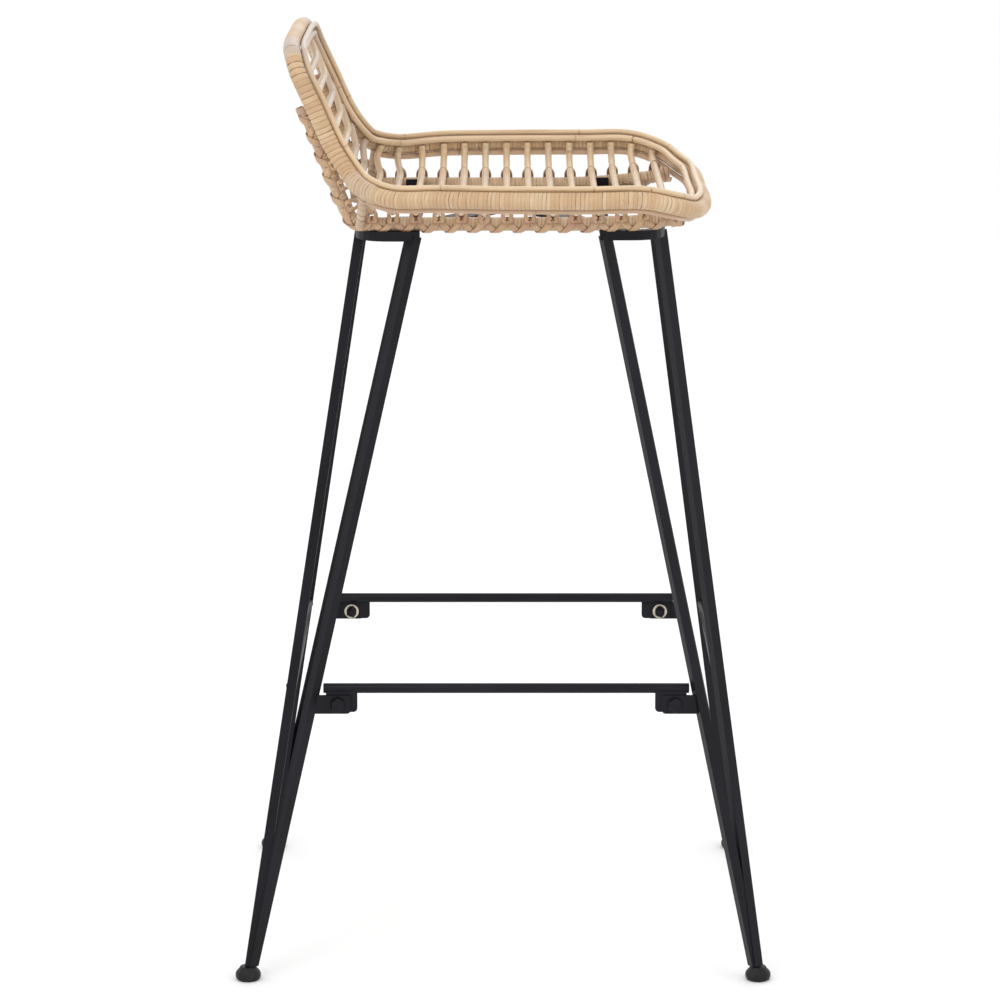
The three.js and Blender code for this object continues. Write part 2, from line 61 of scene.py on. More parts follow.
# ---------------------------------------------------------------- settings
class CaneSettings(bpy.types.PropertyGroup):
    """Sizes and colours of the cane seat, in millimetres where a size is meant"""
    rim_diameter: bpy.props.FloatProperty(
        name="Rim pole", description="Diameter of the wound rim pole over its binding", default=16.2)
    pole_diameter: bpy.props.FloatProperty(
        name="Side pole", description="Diameter of the wound side poles over their binding",
        default=13.2)
    rib_diameter: bpy.props.FloatProperty(name="Rib", description="Diameter of the bent ribs", default=7.0)
    wrap_width: bpy.props.FloatProperty(
        name="Binding width", description="Width of one turn of binding along the seat", default=3.9)
    back_wrap_width: bpy.props.FloatProperty(
        name="Back binding width", description="Width of one turn of binding up the back", default=5.4)
    lashing_width: bpy.props.FloatProperty(
        name="Lashing width", description="Width of the strips that tie the ribs to the side poles",
        default=6.6)
    lashing_thickness: bpy.props.FloatProperty(
        name="Lashing thickness", description="Thickness of those strips", default=1.1)
    honey: bpy.props.FloatVectorProperty(
        name="Honey", description="Colour of the ripe cane", subtype="COLOR",
        default=(0.50, 0.325, 0.175))
    straw: bpy.props.FloatVectorProperty(
        name="Straw", description="Colour of the pale cane", subtype="COLOR",
        default=(0.62, 0.455, 0.285))
    blush: bpy.props.FloatVectorProperty(
        name="Blush", description="Colour of the pinkish cane under the seat", subtype="COLOR",
        default=(0.40, 0.235, 0.145))
    silver: bpy.props.FloatVectorProperty(
        name="Silver", description="Colour of greyed skins", subtype="COLOR",
        default=(0.455, 0.375, 0.31))
    # Painted shade: this colour is laid into the creases between turns of binding and along the edges of the
    # skin strips; it is also the colour of the real dark nicks, node rings and flecks.
    shadow: bpy.props.FloatVectorProperty(
        name="Crevice", description="Colour deep between the turns", subtype="COLOR",
        default=(0.10, 0.045, 0.018))


class SteelSettings(bpy.types.PropertyGroup):
    """Sizes and colours of the steel frame"""
    edge_radius: bpy.props.FloatProperty(
        name="Edge radius", description="Rounding of the square bars", default=0.0011, unit="LENGTH")
    paint: bpy.props.FloatVectorProperty(
        name="Paint", description="Colour of the powder coat", subtype="COLOR",
        default=(0.0048, 0.0048, 0.0072))
    glide: bpy.props.FloatVectorProperty(
        name="Glide", description="Colour of the moulded glides", subtype="COLOR",
        default=(0.008, 0.008, 0.0088))
    zinc: bpy.props.FloatVectorProperty(
        name="Zinc", description="Colour of the plated washers", subtype="COLOR",
        default=(0.62, 0.57, 0.46))


class StudioSettings(bpy.types.PropertyGroup):
    """The studio round the stool"""
    lens: bpy.props.FloatProperty(
        name="Lens", description="Focal length of the camera in millimetres", default=142.999)
    pitch: bpy.props.FloatProperty(
        name="Pitch", description="How far the camera looks down",
        default=math.radians(12.252), unit="ROTATION")
    place: bpy.props.FloatVectorProperty(
        name="Place", description="Where the camera stands", default=(-0.0029684, -3.8484642, 1.2607012),
        subtype="XYZ", unit="LENGTH")
    floor: bpy.props.FloatVectorProperty(
        name="Floor", description="Colour of the floor", subtype="COLOR", default=(0.88, 0.88, 0.88))
    sky: bpy.props.FloatProperty(name="Sky", description="Strength of the light from all round", default=1.14)


# ---------------------------------------------------------------- lines of the seat, in millimetres
def unit(a):
    a = np.asarray(a, float)
    return a / np.maximum(np.linalg.norm(a, axis=-1, keepdims=True), 1e-12)


RIB_COUNT = 21
SEAT_RIBS = 12                  # ribs up to this one are a seat pitch apart, later ones a back pitch
SEAT_PITCH = 21.4
BACK_PITCH = 20.3
FIRST_RIB_X = 153.5
SEAT_Z = 732.0
RISE_FROM_X = 50.0              # the seat rises from here to the front rib
RISE_HEIGHT = 6.0
LEAN = math.radians(22)         # how far the back leans
CORNER_RADIUS = 12.0            # of the bend from seat to back
BACK_FOOT_X = -135.5
BACK_DIRECTION = np.array([-math.sin(LEAN), 0, math.cos(LEAN)])
CORNER_TURN = math.pi / 2 - LEAN
CORNER_SETBACK = CORNER_RADIUS * math.tan(CORNER_TURN / 2)
FLAT_END = BACK_FOOT_X + CORNER_SETBACK
FLAT_LENGTH = FIRST_RIB_X - FLAT_END
ARC_LENGTH = CORNER_RADIUS * CORNER_TURN
POLE_START = -14.5              # where a side pole begins and ends, along it from the first rib
POLE_END = 395.5
POLE_OFFSET = 10.7              # from the ribs' centres down to the side poles'
POLE_HALF_WIDTH = 141.0
POLE_SPLAY = 11.0               # how far the front ends splay out, over the splay's length
POLE_SPLAY_LENGTH = 130.0
POLE_TAPER = 0.09               # how fast the poles draw in up the back
POST_SHARE = 0.73               # where the corner post stands on its side pole
POST_RIM_T = 0.55               # and where it meets the rim
RIB_TOP = 0.8
SPINDLE_LENGTH = 17.0
RIB_CLEARANCE = 11.8
FAN_START_X = -75.0             # behind here the ribs' tops fan out up the back
LAST_RIB_SHARE = 0.863
TOP_ROD = (4.4, 10.6)           # each cane's place beside the rim pole: toward the middle, and upward
INNER_ROD = (11.4, 5.2)
LOWER_ROD = (5.2, -10.0)
LOWER_ROD_REACH = 0.272         # how far round each way the lower cane goes, as a share of a turn

RIM_HALF = np.array([
    (190, 0, 736), (189, 112, 736), (179, 165, 738), (161, 202, 746), (130, 218, 754), (80, 221.5, 754),
    (0, 219.5, 754), (-60, 212, 754), (-105, 197, 752.5), (-134, 171, 761), (-147.5, 152, 775),
    (-161, 146, 796), (-176, 146, 829.5), (-191.5, 144, 863.5), (-197, 131, 880), (-199, 105, 884),
    (-200, 0, 885)], float)
FLIP = np.array([1, -1, 1.0])
RIM_POINTS = np.vstack([RIM_HALF[2:0:-1] * FLIP, RIM_HALF, RIM_HALF[-2:-4:-1] * FLIP])
SPINE = np.array([(112, 0, 750), (-112, 0, 750), (-172, 0, 835)], float)


def centripetal(points, u):
    """A centripetal curve through points, at each share u."""
    p = np.clip(u, 0, 1) * (len(points) - 1)
    i = np.minimum(p.astype(int), len(points) - 2)
    w = (p - i)[:, None]
    before = np.vstack([2 * points[0] - points[1], points, 2 * points[-1] - points[-2]])
    p0, p1, p2, p3 = (before[i + k] for k in range(4))
    d = [np.maximum(np.linalg.norm(b - a, axis=1, keepdims=True), 1e-6) ** 0.5
         for a, b in ((p0, p1), (p1, p2), (p2, p3))]
    t1 = ((p1 - p0) / d[0] - (p2 - p0) / (d[0] + d[1]) + (p2 - p1) / d[1]) * d[1]
    t2 = ((p2 - p1) / d[1] - (p3 - p1) / (d[1] + d[2]) + (p3 - p2) / d[2]) * d[1]
    return p1 + t1 * w + (3 * (p2 - p1) - 2 * t1 - t2) * w ** 2 + (2 * (p1 - p2) + t1 + t2) * w ** 3


def toward_middle(points):
    """From each point to the nearest place on the spine that the rim bends round."""
    best, where = np.full(len(points), 1e9), np.zeros_like(points)
    for a, b in zip(SPINE[:-1], SPINE[1:]):
        t = np.clip((points - a) @ (b - a) / ((b - a) @ (b - a)), 0, 1)[:, None]
        foot = a + t * (b - a)
        far = np.linalg.norm(points - foot, axis=1)
        where[far < best] = foot[far < best]
        best = np.minimum(best, far)
    return where - points


def beside_rim(t, toward=0.0, upward=0.0):
    """Points beside the rim's left half; t goes from 0 at the middle of the front to 1 at the crest."""
    t = np.atleast_1d(np.asarray(t, float))
    u = (2 + t * (len(RIM_HALF) - 1)) / (len(RIM_HALF) + 3)
    point = centripetal(RIM_POINTS, u)
    tangent = unit(centripetal(RIM_POINTS, u + 1e-4) - centripetal(RIM_POINTS, u - 1e-4))
    inward = toward_middle(point)
    inward = unit(inward - (inward * tangent).sum(1, keepdims=True) * tangent)
    wall = np.cross(tangent, inward)
    toward, upward = (np.broadcast_to(np.asarray(x, float), t.shape)[:, None] for x in (toward, upward))
    return point + inward * toward + wall * upward


def round_rim(turns, place=(0.0, 0.0)):
    """Points round the whole rim; one turn runs from the middle of the front up the left side and back."""
    turns = np.asarray(turns, float) % 1
    points = beside_rim(np.where(turns < 0.5, turns * 2, (1 - turns) * 2), *place)
    points[turns >= 0.5, 1] *= -1
    return points


def lengths(points):
    """How far along the line each point is."""
    return np.concatenate([[0], np.cumsum(np.linalg.norm(np.diff(points, axis=0), axis=1))])


def points_at(points, run, at):
    """Places on a line, or values carried along it, at distances along it."""
    return np.stack([np.interp(at, run, points[:, k]) for k in range(3)], -1)


def even(points, step):
    """The same line with points every step, and how far along it each is."""
    run = lengths(points)
    count = max(3, int(round(run[-1] / step)) + 1)
    at = np.linspace(0, run[-1], count)
    return points_at(points, run, at), at


def floor_at(distance):
    """Side view of the rib centres: a point, and the way along, at a distance from the first rib."""
    if distance < FLAT_LENGTH:
        x = FIRST_RIB_X - distance
        share = max(0.0, x - RISE_FROM_X) / (FIRST_RIB_X - RISE_FROM_X)
        return np.array([x, 0, SEAT_Z + RISE_HEIGHT * share ** 2]), np.array([-1.0, 0, 0])
    if distance < FLAT_LENGTH + ARC_LENGTH:
        a = (distance - FLAT_LENGTH) / CORNER_RADIUS
        back, up = CORNER_RADIUS * math.sin(a), CORNER_RADIUS * (1 - math.cos(a))
        return np.array([FLAT_END - back, 0, SEAT_Z + up]), np.array([-math.cos(a), 0, math.sin(a)])
    climb = CORNER_SETBACK + distance - FLAT_LENGTH - ARC_LENGTH
    return np.array([BACK_FOOT_X, 0, SEAT_Z]) + BACK_DIRECTION * climb, BACK_DIRECTION


def pole_half_width(distance):
    ahead = max(0.0, 1 - distance / POLE_SPLAY_LENGTH)
    return POLE_HALF_WIDTH + POLE_SPLAY * ahead ** 2 - POLE_TAPER * max(0.0, distance - FLAT_LENGTH)


def outward_of(along):
    """The way out of the seat, downward or rearward, square to a way along it in side view."""
    return np.array([-along[2], 0, along[0]])


def pole_point(distance, side=1):
    point, along = floor_at(distance)
    point = point + outward_of(along) * POLE_OFFSET
    return np.array([point[0], side * pole_half_width(distance), point[2]])


def bezier(a, b, c, count):
    t = np.linspace(0, 1, count)[:, None]
    return (1 - t) ** 2 * a + 2 * t * (1 - t) * b + t ** 2 * c


SPINDLE_T = np.linspace(0, 1, 401)
SPINDLE = beside_rim(SPINDLE_T, RIB_CLEARANCE, RIB_TOP)
SPINDLE_RUN = lengths(SPINDLE)


def spindle_t(share):
    return float(np.interp(share * SPINDLE_RUN[-1], SPINDLE_RUN, SPINDLE_T))


def share_at_x(x):
    """The share of the spindles' line at which it is as far forward as x, found by halving."""
    low, high = 0.1, 0.62
    for _ in range(30):
        middle = (low + high) / 2
        if beside_rim(spindle_t(middle), RIB_CLEARANCE, RIB_TOP)[0, 0] > x:
            low = middle
        else:
            high = middle
    return low


def rib_distance(number):
    return min(number, SEAT_RIBS) * SEAT_PITCH + max(0, number - SEAT_RIBS) * BACK_PITCH


def rib_line(number):
    """Centre line of one rib, from the left spindle down across the seat to the right one."""
    distance = rib_distance(number)
    last, fan = rib_distance(RIB_COUNT - 1), FIRST_RIB_X - FAN_START_X
    if distance < fan:
        share = share_at_x(FIRST_RIB_X - distance)
    else:
        start = share_at_x(FAN_START_X)
        share = start + (distance - fan) / (last - fan) * (LAST_RIB_SHARE - start)
    floor, along = floor_at(distance)
    t = spindle_t(share)
    top = beside_rim(t, RIB_CLEARANCE, RIB_TOP)[0]
    rise = (top - floor) @ -outward_of(along)
    bend_at = RIB_TOP - min(max(0.55 * rise, 0.5), SPINDLE_LENGTH)
    bend = beside_rim(t, RIB_CLEARANCE, bend_at)[0]
    knee = np.array([floor[0], min(pole_half_width(distance), bend[1] - 12), floor[2]])
    knee_in = knee - np.array([0, 22, 0])
    half = np.vstack([
        top[None], bezier((bend + top) / 2, bend, bend + (knee - bend) * 0.4, 9),
        bezier(knee + (bend - knee) * 0.35, knee, knee_in, 9)])
    return np.vstack([half, half[::-1] * FLIP])


# ---------------------------------------------------------------- making meshes
def frames(points, guide=None, closed=False):
    """Tangent, normal and binormal along a line; the normal leans to guide, or is carried along unturned."""
    if closed:
        tangent = unit(np.roll(points, -1, 0) - np.roll(points, 1, 0))
    else:
        tangent = unit(np.gradient(points, axis=0))
    if guide is None:
        first = np.cross(tangent[0], [0.3, 0.2, 0.93])
        normal = [unit(first)]
        for t in tangent[1:]:
            n = normal[-1] - (normal[-1] @ t) * t
            normal.append(unit(n))
        normal = np.array(normal)
    else:
        normal = unit(guide - (guide * tangent).sum(1, keepdims=True) * tangent)
    return tangent, normal, np.cross(tangent, normal)


def skin(name, grid, uv, values, closed=False):
    """A tube mesh over a grid of rings. uv has one column more than the grid; values are the tones."""
    rings, around = grid.shape[:2]
    points = grid.reshape(-1, 3) * MM
    i, j = np.meshgrid(np.arange(rings if closed else rings - 1), np.arange(around), indexing="ij")
    k, l = (i + 1) % rings, (j + 1) % around
    quads = np.stack([i * around + j, i * around + l, k * around + l, k * around + j], -1).reshape(-1, 4)
    corners = [uv[i, j], uv[i, j + 1], uv[i + 1, j + 1], uv[i + 1, j]]
    coords = np.stack(corners, -2).reshape(-1, 2)
    loops, starts = quads.ravel(), np.arange(0, quads.size, 4)
    if not closed:
        loops = np.concatenate([loops, np.arange(around)[::-1], np.arange(around) + (rings - 1) * around])
        starts = np.concatenate([starts, [quads.size, quads.size + around]])
        coords = np.vstack([coords, np.repeat(uv[0, :1], around, 0), np.repeat(uv[-1, :1], around, 0)])
    mesh = bpy.data.meshes.new(name)
    mesh.vertices.add(len(points))
    mesh.vertices.foreach_set("co", points.astype(np.float32).ravel())
    mesh.loops.add(len(loops))
    mesh.loops.foreach_set("vertex_index", loops.astype(np.int32))
    mesh.polygons.add(len(starts))
    mesh.polygons.foreach_set("loop_start", starts.astype(np.int32))
    layer = mesh.uv_layers.new(name="lay")
    layer.data.foreach_set("uv", coords.astype(np.float32).ravel())
    tone = mesh.attributes.new("tone", "FLOAT", "POINT")
    tone.data.foreach_set("value", values.astype(np.float32).ravel())
    mesh.update(calc_edges=True)
    mesh.validate()
    mesh.shade_smooth()
    piece = bpy.data.objects.new(name, mesh)
    bpy.context.scene.collection.objects.link(piece)
    return piece


def column(values, around):
    return np.repeat(np.asarray(values, float)[:, None], around, 1)


def lay_of(sides, along, shift=0.0):
    """UVs of a tube: u goes round it and v along it."""
    u = np.broadcast_to(np.linspace(0, 1, sides + 1), (len(along), sides + 1)) + shift
    return np.stack([u, column(along, sides + 1)], -1)


def as_function(x):
    return x if callable(x) else (lambda share: x)


TURN_SHARES = np.array([0.0, 0.09, 0.3, 0.7, 0.91])     # places across one turn of binding
TURN_RIDGE = np.array([0.0, 0.72, 1.0, 1.0, 0.72])      # and how high it stands at each


def wound_pole(name, points, radius, width, relief, seed, guide=None, closed=False, sides=20, tone=0.0,
               slant=0.5):
    """A pole wound with flat binding: each turn is a low ridge between two creases.
    width, relief and tone are numbers or functions of the share of the length."""
    rng = np.random.default_rng(seed)
    width, relief, tone = as_function(width), as_function(relief), as_function(tone)
    line = np.vstack([points, points[:1]]) if closed else points
    run = lengths(line)
    total, edges = run[-1], [0.0]
    while edges[-1] < total:
        edges.append(edges[-1] + width(edges[-1] / total) * rng.uniform(0.84, 1.16))
    edges = np.array(edges) * total / edges[-1]
    turns = len(edges) - 1
    at = (edges[:-1, None] + np.diff(edges)[:, None] * TURN_SHARES).ravel()
    phase = (np.arange(turns)[:, None] + TURN_SHARES).ravel()
    lift = (TURN_RIDGE * rng.uniform(0.75, 1.1, turns)[:, None]).ravel()
    if not closed:
        at, phase, lift = np.append(at, total), np.append(phase, turns), np.append(lift, 0.0)
    angle = np.linspace(0, 2 * np.pi, sides, endpoint=False)
    shift = slant * np.cos(angle + rng.uniform(0, 6))
    wobble = np.repeat(rng.normal(0, 0.16, turns), len(TURN_SHARES))
    wobble = np.append(wobble, 0) if not closed else wobble
    place = at[:, None] + shift + wobble[:, None] * np.sin(angle + 1.0)
    place = place % total if closed else np.clip(place, 0, total)
    if not closed:
        place[0], place[-1] = 0, total
    _, normal, binormal = frames(points, guide, closed)
    if closed:
        normal, binormal = np.vstack([normal, normal[:1]]), np.vstack([binormal, binormal[:1]])
    share = at / total
    depth = np.array([relief(s) for s in share])
    r = radius + depth * (lift - 1.0)
    if not closed:
        r *= np.sqrt(1 - 0.6 * np.clip(1 - np.minimum(at, total - at) / (0.45 * radius), 0, 1) ** 2)
    n, b = unit(points_at(normal, run, place)), unit(points_at(binormal, run, place))
    ring = np.cos(angle)[None, :, None] * n + np.sin(angle)[None, :, None] * b
    grid = points_at(line, run, place) + ring * r[:, None, None]
    rise = np.append(phase, turns) if closed else phase
    return skin(name, grid, lay_of(sides, rise), column([tone(s) for s in share], sides), closed)


NODE_SPACING = (90, 190)
NODE_LENGTH = 1.5
NODE_RINGS = (-2.4, -1.2, 0, 1.2, 2.4)                  # extra rings of the mesh round a node
END_RINGS = np.array([0.35, 1.0])                       # and from each end


def cane_rod(name, points, radius, seed, sides=12, step=3.0, tone=0.0):
    """A peeled cane: nearly round, with a swollen ring at each node and slightly rounded ends."""
    rng = np.random.default_rng(seed)
    at = even(points, step)[1]
    total = at[-1]
    marks, x = [], rng.uniform(15, NODE_SPACING[1])
    while x < total - 8:
        marks.append(x)
        x += rng.uniform(*NODE_SPACING)
    near = np.array([m + ring for m in marks for ring in NODE_RINGS])
    near = near[(near > 1) & (near < total - 1)]
    at = np.unique(np.concatenate([at, near, END_RINGS, total - END_RINGS]))
    line = points_at(points, lengths(points), at)
    _, normal, binormal = frames(line)
    knot = np.zeros(len(at))
    for m in marks:
        knot = np.maximum(knot, np.exp(-((at - m) / NODE_LENGTH) ** 2))
    slow = sum(np.sin(at / length + rng.uniform(0, 6)) for length in (19, 41, 83)) / 3
    r = radius * (1 + 0.018 * slow + 0.05 * knot - 0.015)
    r *= np.sqrt(1 - 0.45 * np.clip(1 - np.minimum(at, total - at), 0, 1) ** 2)
    angle = np.linspace(0, 2 * np.pi, sides, endpoint=False)
    oval = 1 + 0.02 * np.cos(2 * angle + rng.uniform(0, 6))
    ring = np.cos(angle)[None, :, None] * normal[:, None] + np.sin(angle)[None, :, None] * binormal[:, None]
    grid = line[:, None] + ring * (r[:, None] * oval)[..., None]
    uv = lay_of(sides, at * MM * 10 + seed * 1.7, seed * 3)
    piece = skin(name, grid, uv, column(np.full(len(at), tone), sides))
    mark = piece.data.attributes.new("knot", "FLOAT", "POINT")
    mark.data.foreach_set("value", column(knot, sides).astype(np.float32).ravel())
    return piece


# cross-section of a strip as shares of its width and its thickness
STRIP_PROFILE = np.array([(-0.5, 0.0), (-0.46, -0.32), (0.46, -0.32), (0.5, 0.0), (0.4, 0.42), (0.0, 0.6),
                          (-0.4, 0.42)])


def strip(name, points, facing, width, thickness, seed, tone=0.0):
    """A flat strip of cane skin along a line, its outer face turned to facing."""
    _, normal, across = frames(points, facing)
    width, thickness, tone = (np.broadcast_to(np.asarray(x, float), len(points))
                              for x in (width, thickness, tone))
    w = width[:, None, None] * STRIP_PROFILE[:, 0][None, :, None] * across[:, None]
    t = thickness[:, None, None] * STRIP_PROFILE[:, 1][None, :, None] * normal[:, None]
    grid = points[:, None] + (w + t)[:, ::-1]
    count = len(STRIP_PROFILE)
    uv = lay_of(count, lengths(points) * MM * 10 + seed * 1.3, seed * 2)
    return skin(name, grid, uv, column(tone, count))


def join(pieces, name):
    """One piece out of several."""
    bpy.ops.object.select_all(action="DESELECT")
    for piece in pieces:
        piece.select_set(True)
    bpy.context.view_layer.objects.active = pieces[0]
    if len(pieces) > 1:
        bpy.ops.object.join()
    return named(active(), name)


def named(piece, name):
    piece.name = piece.data.name = name
    return piece


def finish_piece(piece, slot, finish, *nodes):
    """Gives a piece its material and its body, and hides the CAD nodes that it stands in for."""
    piece.data.materials.clear()
    piece.data.materials.append(finish_of(finish))
    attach(piece, "root")
    if nodes:
        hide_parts(*nodes)
    return piece


def active():
    return bpy.context.view_layer.objects.active


def deselect():
    if bpy.context.mode != "OBJECT":
        bpy.ops.object.mode_set(mode="OBJECT")
    bpy.ops.object.select_all(action="DESELECT")


def pick_only(piece):
    deselect()
    piece.select_set(True)
    bpy.context.view_layer.objects.active = piece


def smooth(piece, degrees=35):
    """Smooth shading, with hard edges where faces meet at more than this."""
    pick_only(piece)
    bpy.ops.object.shade_smooth_by_angle(angle=math.radians(degrees))
    return piece


def settle(piece):
    """Puts a piece's place into its mesh."""
    pick_only(piece)
    bpy.ops.object.transform_apply(location=True, rotation=True, scale=True)
    return piece


def modify(piece, kind, **options):
    """Adds a modifier and applies it."""
    pick_only(piece)
    modifier = piece.modifiers.new(kind.title(), kind)
    for key, value in options.items():
        setattr(modifier, key, value)
    bpy.ops.object.modifier_apply(modifier=modifier.name)
    return piece


# ---------------------------------------------------------------- finishes
class Finish:
    """A material's nodes, laid out as they are asked for."""

    def __init__(self, name):
        self.material = bpy.data.materials.new(name)
        self.material.use_nodes = True
        self.tree = self.material.node_tree
        self.shader = self.tree.nodes["Principled BSDF"]

    def put(self, kind, inputs=None, **settings):
        node = self.tree.nodes.new(kind)
        for key, value in settings.items():
            setattr(node, key, value)
        for key, value in (inputs or {}).items():
            if isinstance(value, bpy.types.NodeSocket):
                self.tree.links.new(value, node.inputs[key])
            else:
                node.inputs[key].default_value = value
        return node

    def math(self, operation, a, b=0.0, clamp=False):
        return self.put("ShaderNodeMath", {0: a, 1: b}, operation=operation, use_clamp=clamp).outputs[0]

    def times(self, a, b, clamp=False):
        return self.math("MULTIPLY", a, b, clamp)

    def weigh(self, *parts):
        """The sum of values, each multiplied by its weight."""
        total = 0.0
        for value, weight in parts:
            total = self.math("ADD", self.times(value, weight), total)
        return total

    def span(self, value, low, high, to_low=0.0, to_high=1.0):
        return self.put("ShaderNodeMapRange", {"Value": value, "From Min": low, "From Max": high,
                                               "To Min": to_low, "To Max": to_high}).outputs[0]

    def mix(self, share, a, b):
        node = self.put("ShaderNodeMix", data_type="RGBA")
        for index, value in ((0, share), (6, a), (7, b)):
            if isinstance(value, bpy.types.NodeSocket):
                self.tree.links.new(value, node.inputs[index])
            elif index == 0:
                node.inputs[0].default_value = value
            else:
                node.inputs[index].default_value = (*value[:3], 1)
        return node.outputs[2]

    def random(self, number):
        return self.put("ShaderNodeTexWhiteNoise", {"W": number}, noise_dimensions="1D").outputs["Value"]

    def noise(self, vector, scale=1.0, detail=2.0, rough=0.5):
        return self.put("ShaderNodeTexNoise", {"Vector": vector, "Scale": scale, "Detail": detail,
                                               "Roughness": rough}).outputs["Fac"]

    def grain(self, lay, across, along, detail, rough=0.5, start=0.0):
        """Noise over the lay, with its own scale across the cane and along it."""
        spread = {0: self.times(lay[0], across), 1: self.times(lay[1], along), 2: start}
        return self.noise(self.put("ShaderNodeCombineXYZ", spread).outputs[0], 1.0, detail, rough)

    def lay(self):
        parts = self.put("ShaderNodeSeparateXYZ", {0: self.put("ShaderNodeUVMap", uv_map="lay").outputs[0]})
        return parts.outputs[0], parts.outputs[1]

    def object_place(self):
        return self.put("ShaderNodeTexCoord").outputs["Object"]

    def value_of(self, attribute):
        return self.put("ShaderNodeAttribute", attribute_name=attribute).outputs["Fac"]

    def ramp(self, value, stops):
        node = self.put("ShaderNodeValToRGB", {0: value})
        elements = node.color_ramp.elements
        while len(elements) < len(stops):
            elements.new(0.5)
        for element, (position, color) in zip(elements, stops):
            element.position = position
            element.color = (*color[:3], 1)
        return node.outputs[0]

    def bump(self, height, distance, strength=1.0):
        return self.put("ShaderNodeBump", {"Height": height, "Distance": distance,
                                           "Strength": strength}).outputs[0]

    def toned(self, color, cane):
        """Greyer where a piece's tone is above nought, pinker where it is below."""
        tone = self.value_of("tone")
        color = self.mix(self.times(tone, 1.0, clamp=True), color, cane.silver)
        return self.mix(self.times(tone, -1.0, clamp=True), color, cane.blush)

    def set(self, **sockets):
        names = {"color": "Base Color", "rough": "Roughness", "normal": "Normal", "metal": "Metallic",
                 "coat": "Coat Weight", "coat_rough": "Coat Roughness", "specular": "Specular IOR Level"}
        for key, value in sockets.items():
            socket = self.shader.inputs[names[key]]
            if isinstance(value, bpy.types.NodeSocket):
                self.tree.links.new(value, socket)
            else:
                socket.default_value = value
        return self.material


def tinted(color, factor):
    return tuple(min(1.0, c * factor) for c in color)


def wound_cane(cane):
    """Binding wound round a pole: turns of slightly different colour, fibres round the pole, painted shade in
    the creases and a few dark nicks.
    """
    f = Finish("wound cane")
    u, v = f.lay()
    pick = f.random(f.math("FLOOR", v))
    fibre = f.grain((u, v), 5.0, 9.0, 3.0, 0.6)
    patch = f.noise(f.object_place(), 22.0, 2.0)
    level = f.weigh((pick, 0.13), (fibre, 0.46), (patch, 0.44))
    color = f.ramp(level, [(0.26, tinted(cane.honey, 0.86)), (0.48, cane.honey), (0.64, cane.straw),
                           (0.86, tinted(cane.straw, 1.1))])
    color = f.toned(color, cane)
    # Painted shade: each crease between turns is darkened towards the crease shade colour, more in some
    # creases than in others; the nicks below are real dark marks.
    from_middle = f.math("ABSOLUTE", f.math("SUBTRACT", f.math("FRACT", v), 0.5))
    from_crease = f.math("SUBTRACT", 0.5, from_middle)
    crease_number = f.math("ROUND", v)
    broken = f.grain((u, crease_number), 7.0, 3.7, 1.0)
    depth = f.times(f.math("POWER", f.random(crease_number), 2.0), f.span(broken, 0.3, 0.7, 0.35, 1.0))
    crease = f.span(from_crease, 0.0, f.math("ADD", 0.05, f.times(depth, 0.13)), 1.0, 0.0)
    crease = f.times(crease, f.math("ADD", 0.42, f.times(depth, 0.6)), clamp=True)
    nick = f.times(f.span(f.grain((u, v), 11.0, 0.9, 2.0, start=4.0), 0.70, 0.76), 0.7)
    dark = f.math("MAXIMUM", crease, nick)
    height = f.math("SUBTRACT", f.times(fibre, 0.5), dark)
    return f.set(color=f.mix(dark, color, cane.shadow), rough=f.span(fibre, 0.3, 0.7, 0.36, 0.56),
                 normal=f.bump(height, 0.00025, 0.55), coat=0.12, coat_rough=0.3)


def peeled_cane(cane):
    """Lacquered peeled cane: long fibres, darker rings at the nodes, faint stains."""
    f = Finish("peeled cane")
    lay = f.lay()
    fibre = f.grain(lay, 16.0, 2.2, 4.0, 0.6)
    stain = f.grain(lay, 1.5, 1.3, 3.0, 0.55)
    level = f.weigh((fibre, 0.5), (stain, 0.55))
    color = f.ramp(level, [(0.34, tinted(cane.honey, 0.92)), (0.52, cane.straw),
                           (0.7, tinted(cane.straw, 1.13))])
    color = f.toned(color, cane)
    ring = f.times(f.math("POWER", f.value_of("knot"), 3.0), f.span(fibre, 0.35, 0.6, 0.75, 0.3))
    fleck = f.span(f.grain(lay, 9.0, 7.0, 2.0, start=2.0), 0.71, 0.78)
    dark = f.math("MAXIMUM", ring, f.times(fleck, 0.55))
    height = f.math("SUBTRACT", f.times(fibre, 0.6), dark)
    return f.set(color=f.mix(dark, color, cane.shadow), rough=f.span(fibre, 0.3, 0.7, 0.3, 0.48),
                 normal=f.bump(height, 0.0002, 0.5), coat=0.2, coat_rough=0.25)


def cane_skin(cane):
    """Flat strips of outer skin: glossy, finely lined, with painted shade along their edges."""
    f = Finish("cane skin")
    u, v = f.lay()
    fibre = f.grain((u, v), 14.0, 3.0, 3.0, 0.6)
    patch = f.noise(f.object_place(), 38.0, 2.0)
    level = f.weigh((fibre, 0.5), (patch, 0.5))
    color = f.ramp(level, [(0.3, tinted(cane.blush, 0.95)), (0.44, tinted(cane.blush, 1.15)),
                           (0.54, cane.honey), (0.72, cane.straw)])
    color = f.mix(f.times(f.value_of("tone"), 1.0, clamp=True), color, cane.silver)
    # u is 1/7 per side of the strip: shifted so that the middle of its outer face lies at a half
    across = f.math("FRACT", f.math("ADD", u, 0.357))
    from_middle = f.math("ABSOLUTE", f.math("SUBTRACT", across, 0.5))
    from_edge = f.math("ABSOLUTE", f.math("SUBTRACT", from_middle, 0.286))
    # Painted shade along both edges of the strip's outer face, in the crease shade colour.
    color = f.mix(f.span(from_edge, 0.0, 0.08, 0.5, 0.0), color, cane.shadow)
    return f.set(color=color, rough=f.span(fibre, 0.3, 0.7, 0.3, 0.5), normal=f.bump(fibre, 0.0002, 0.4),
                 coat=0.2, coat_rough=0.25)


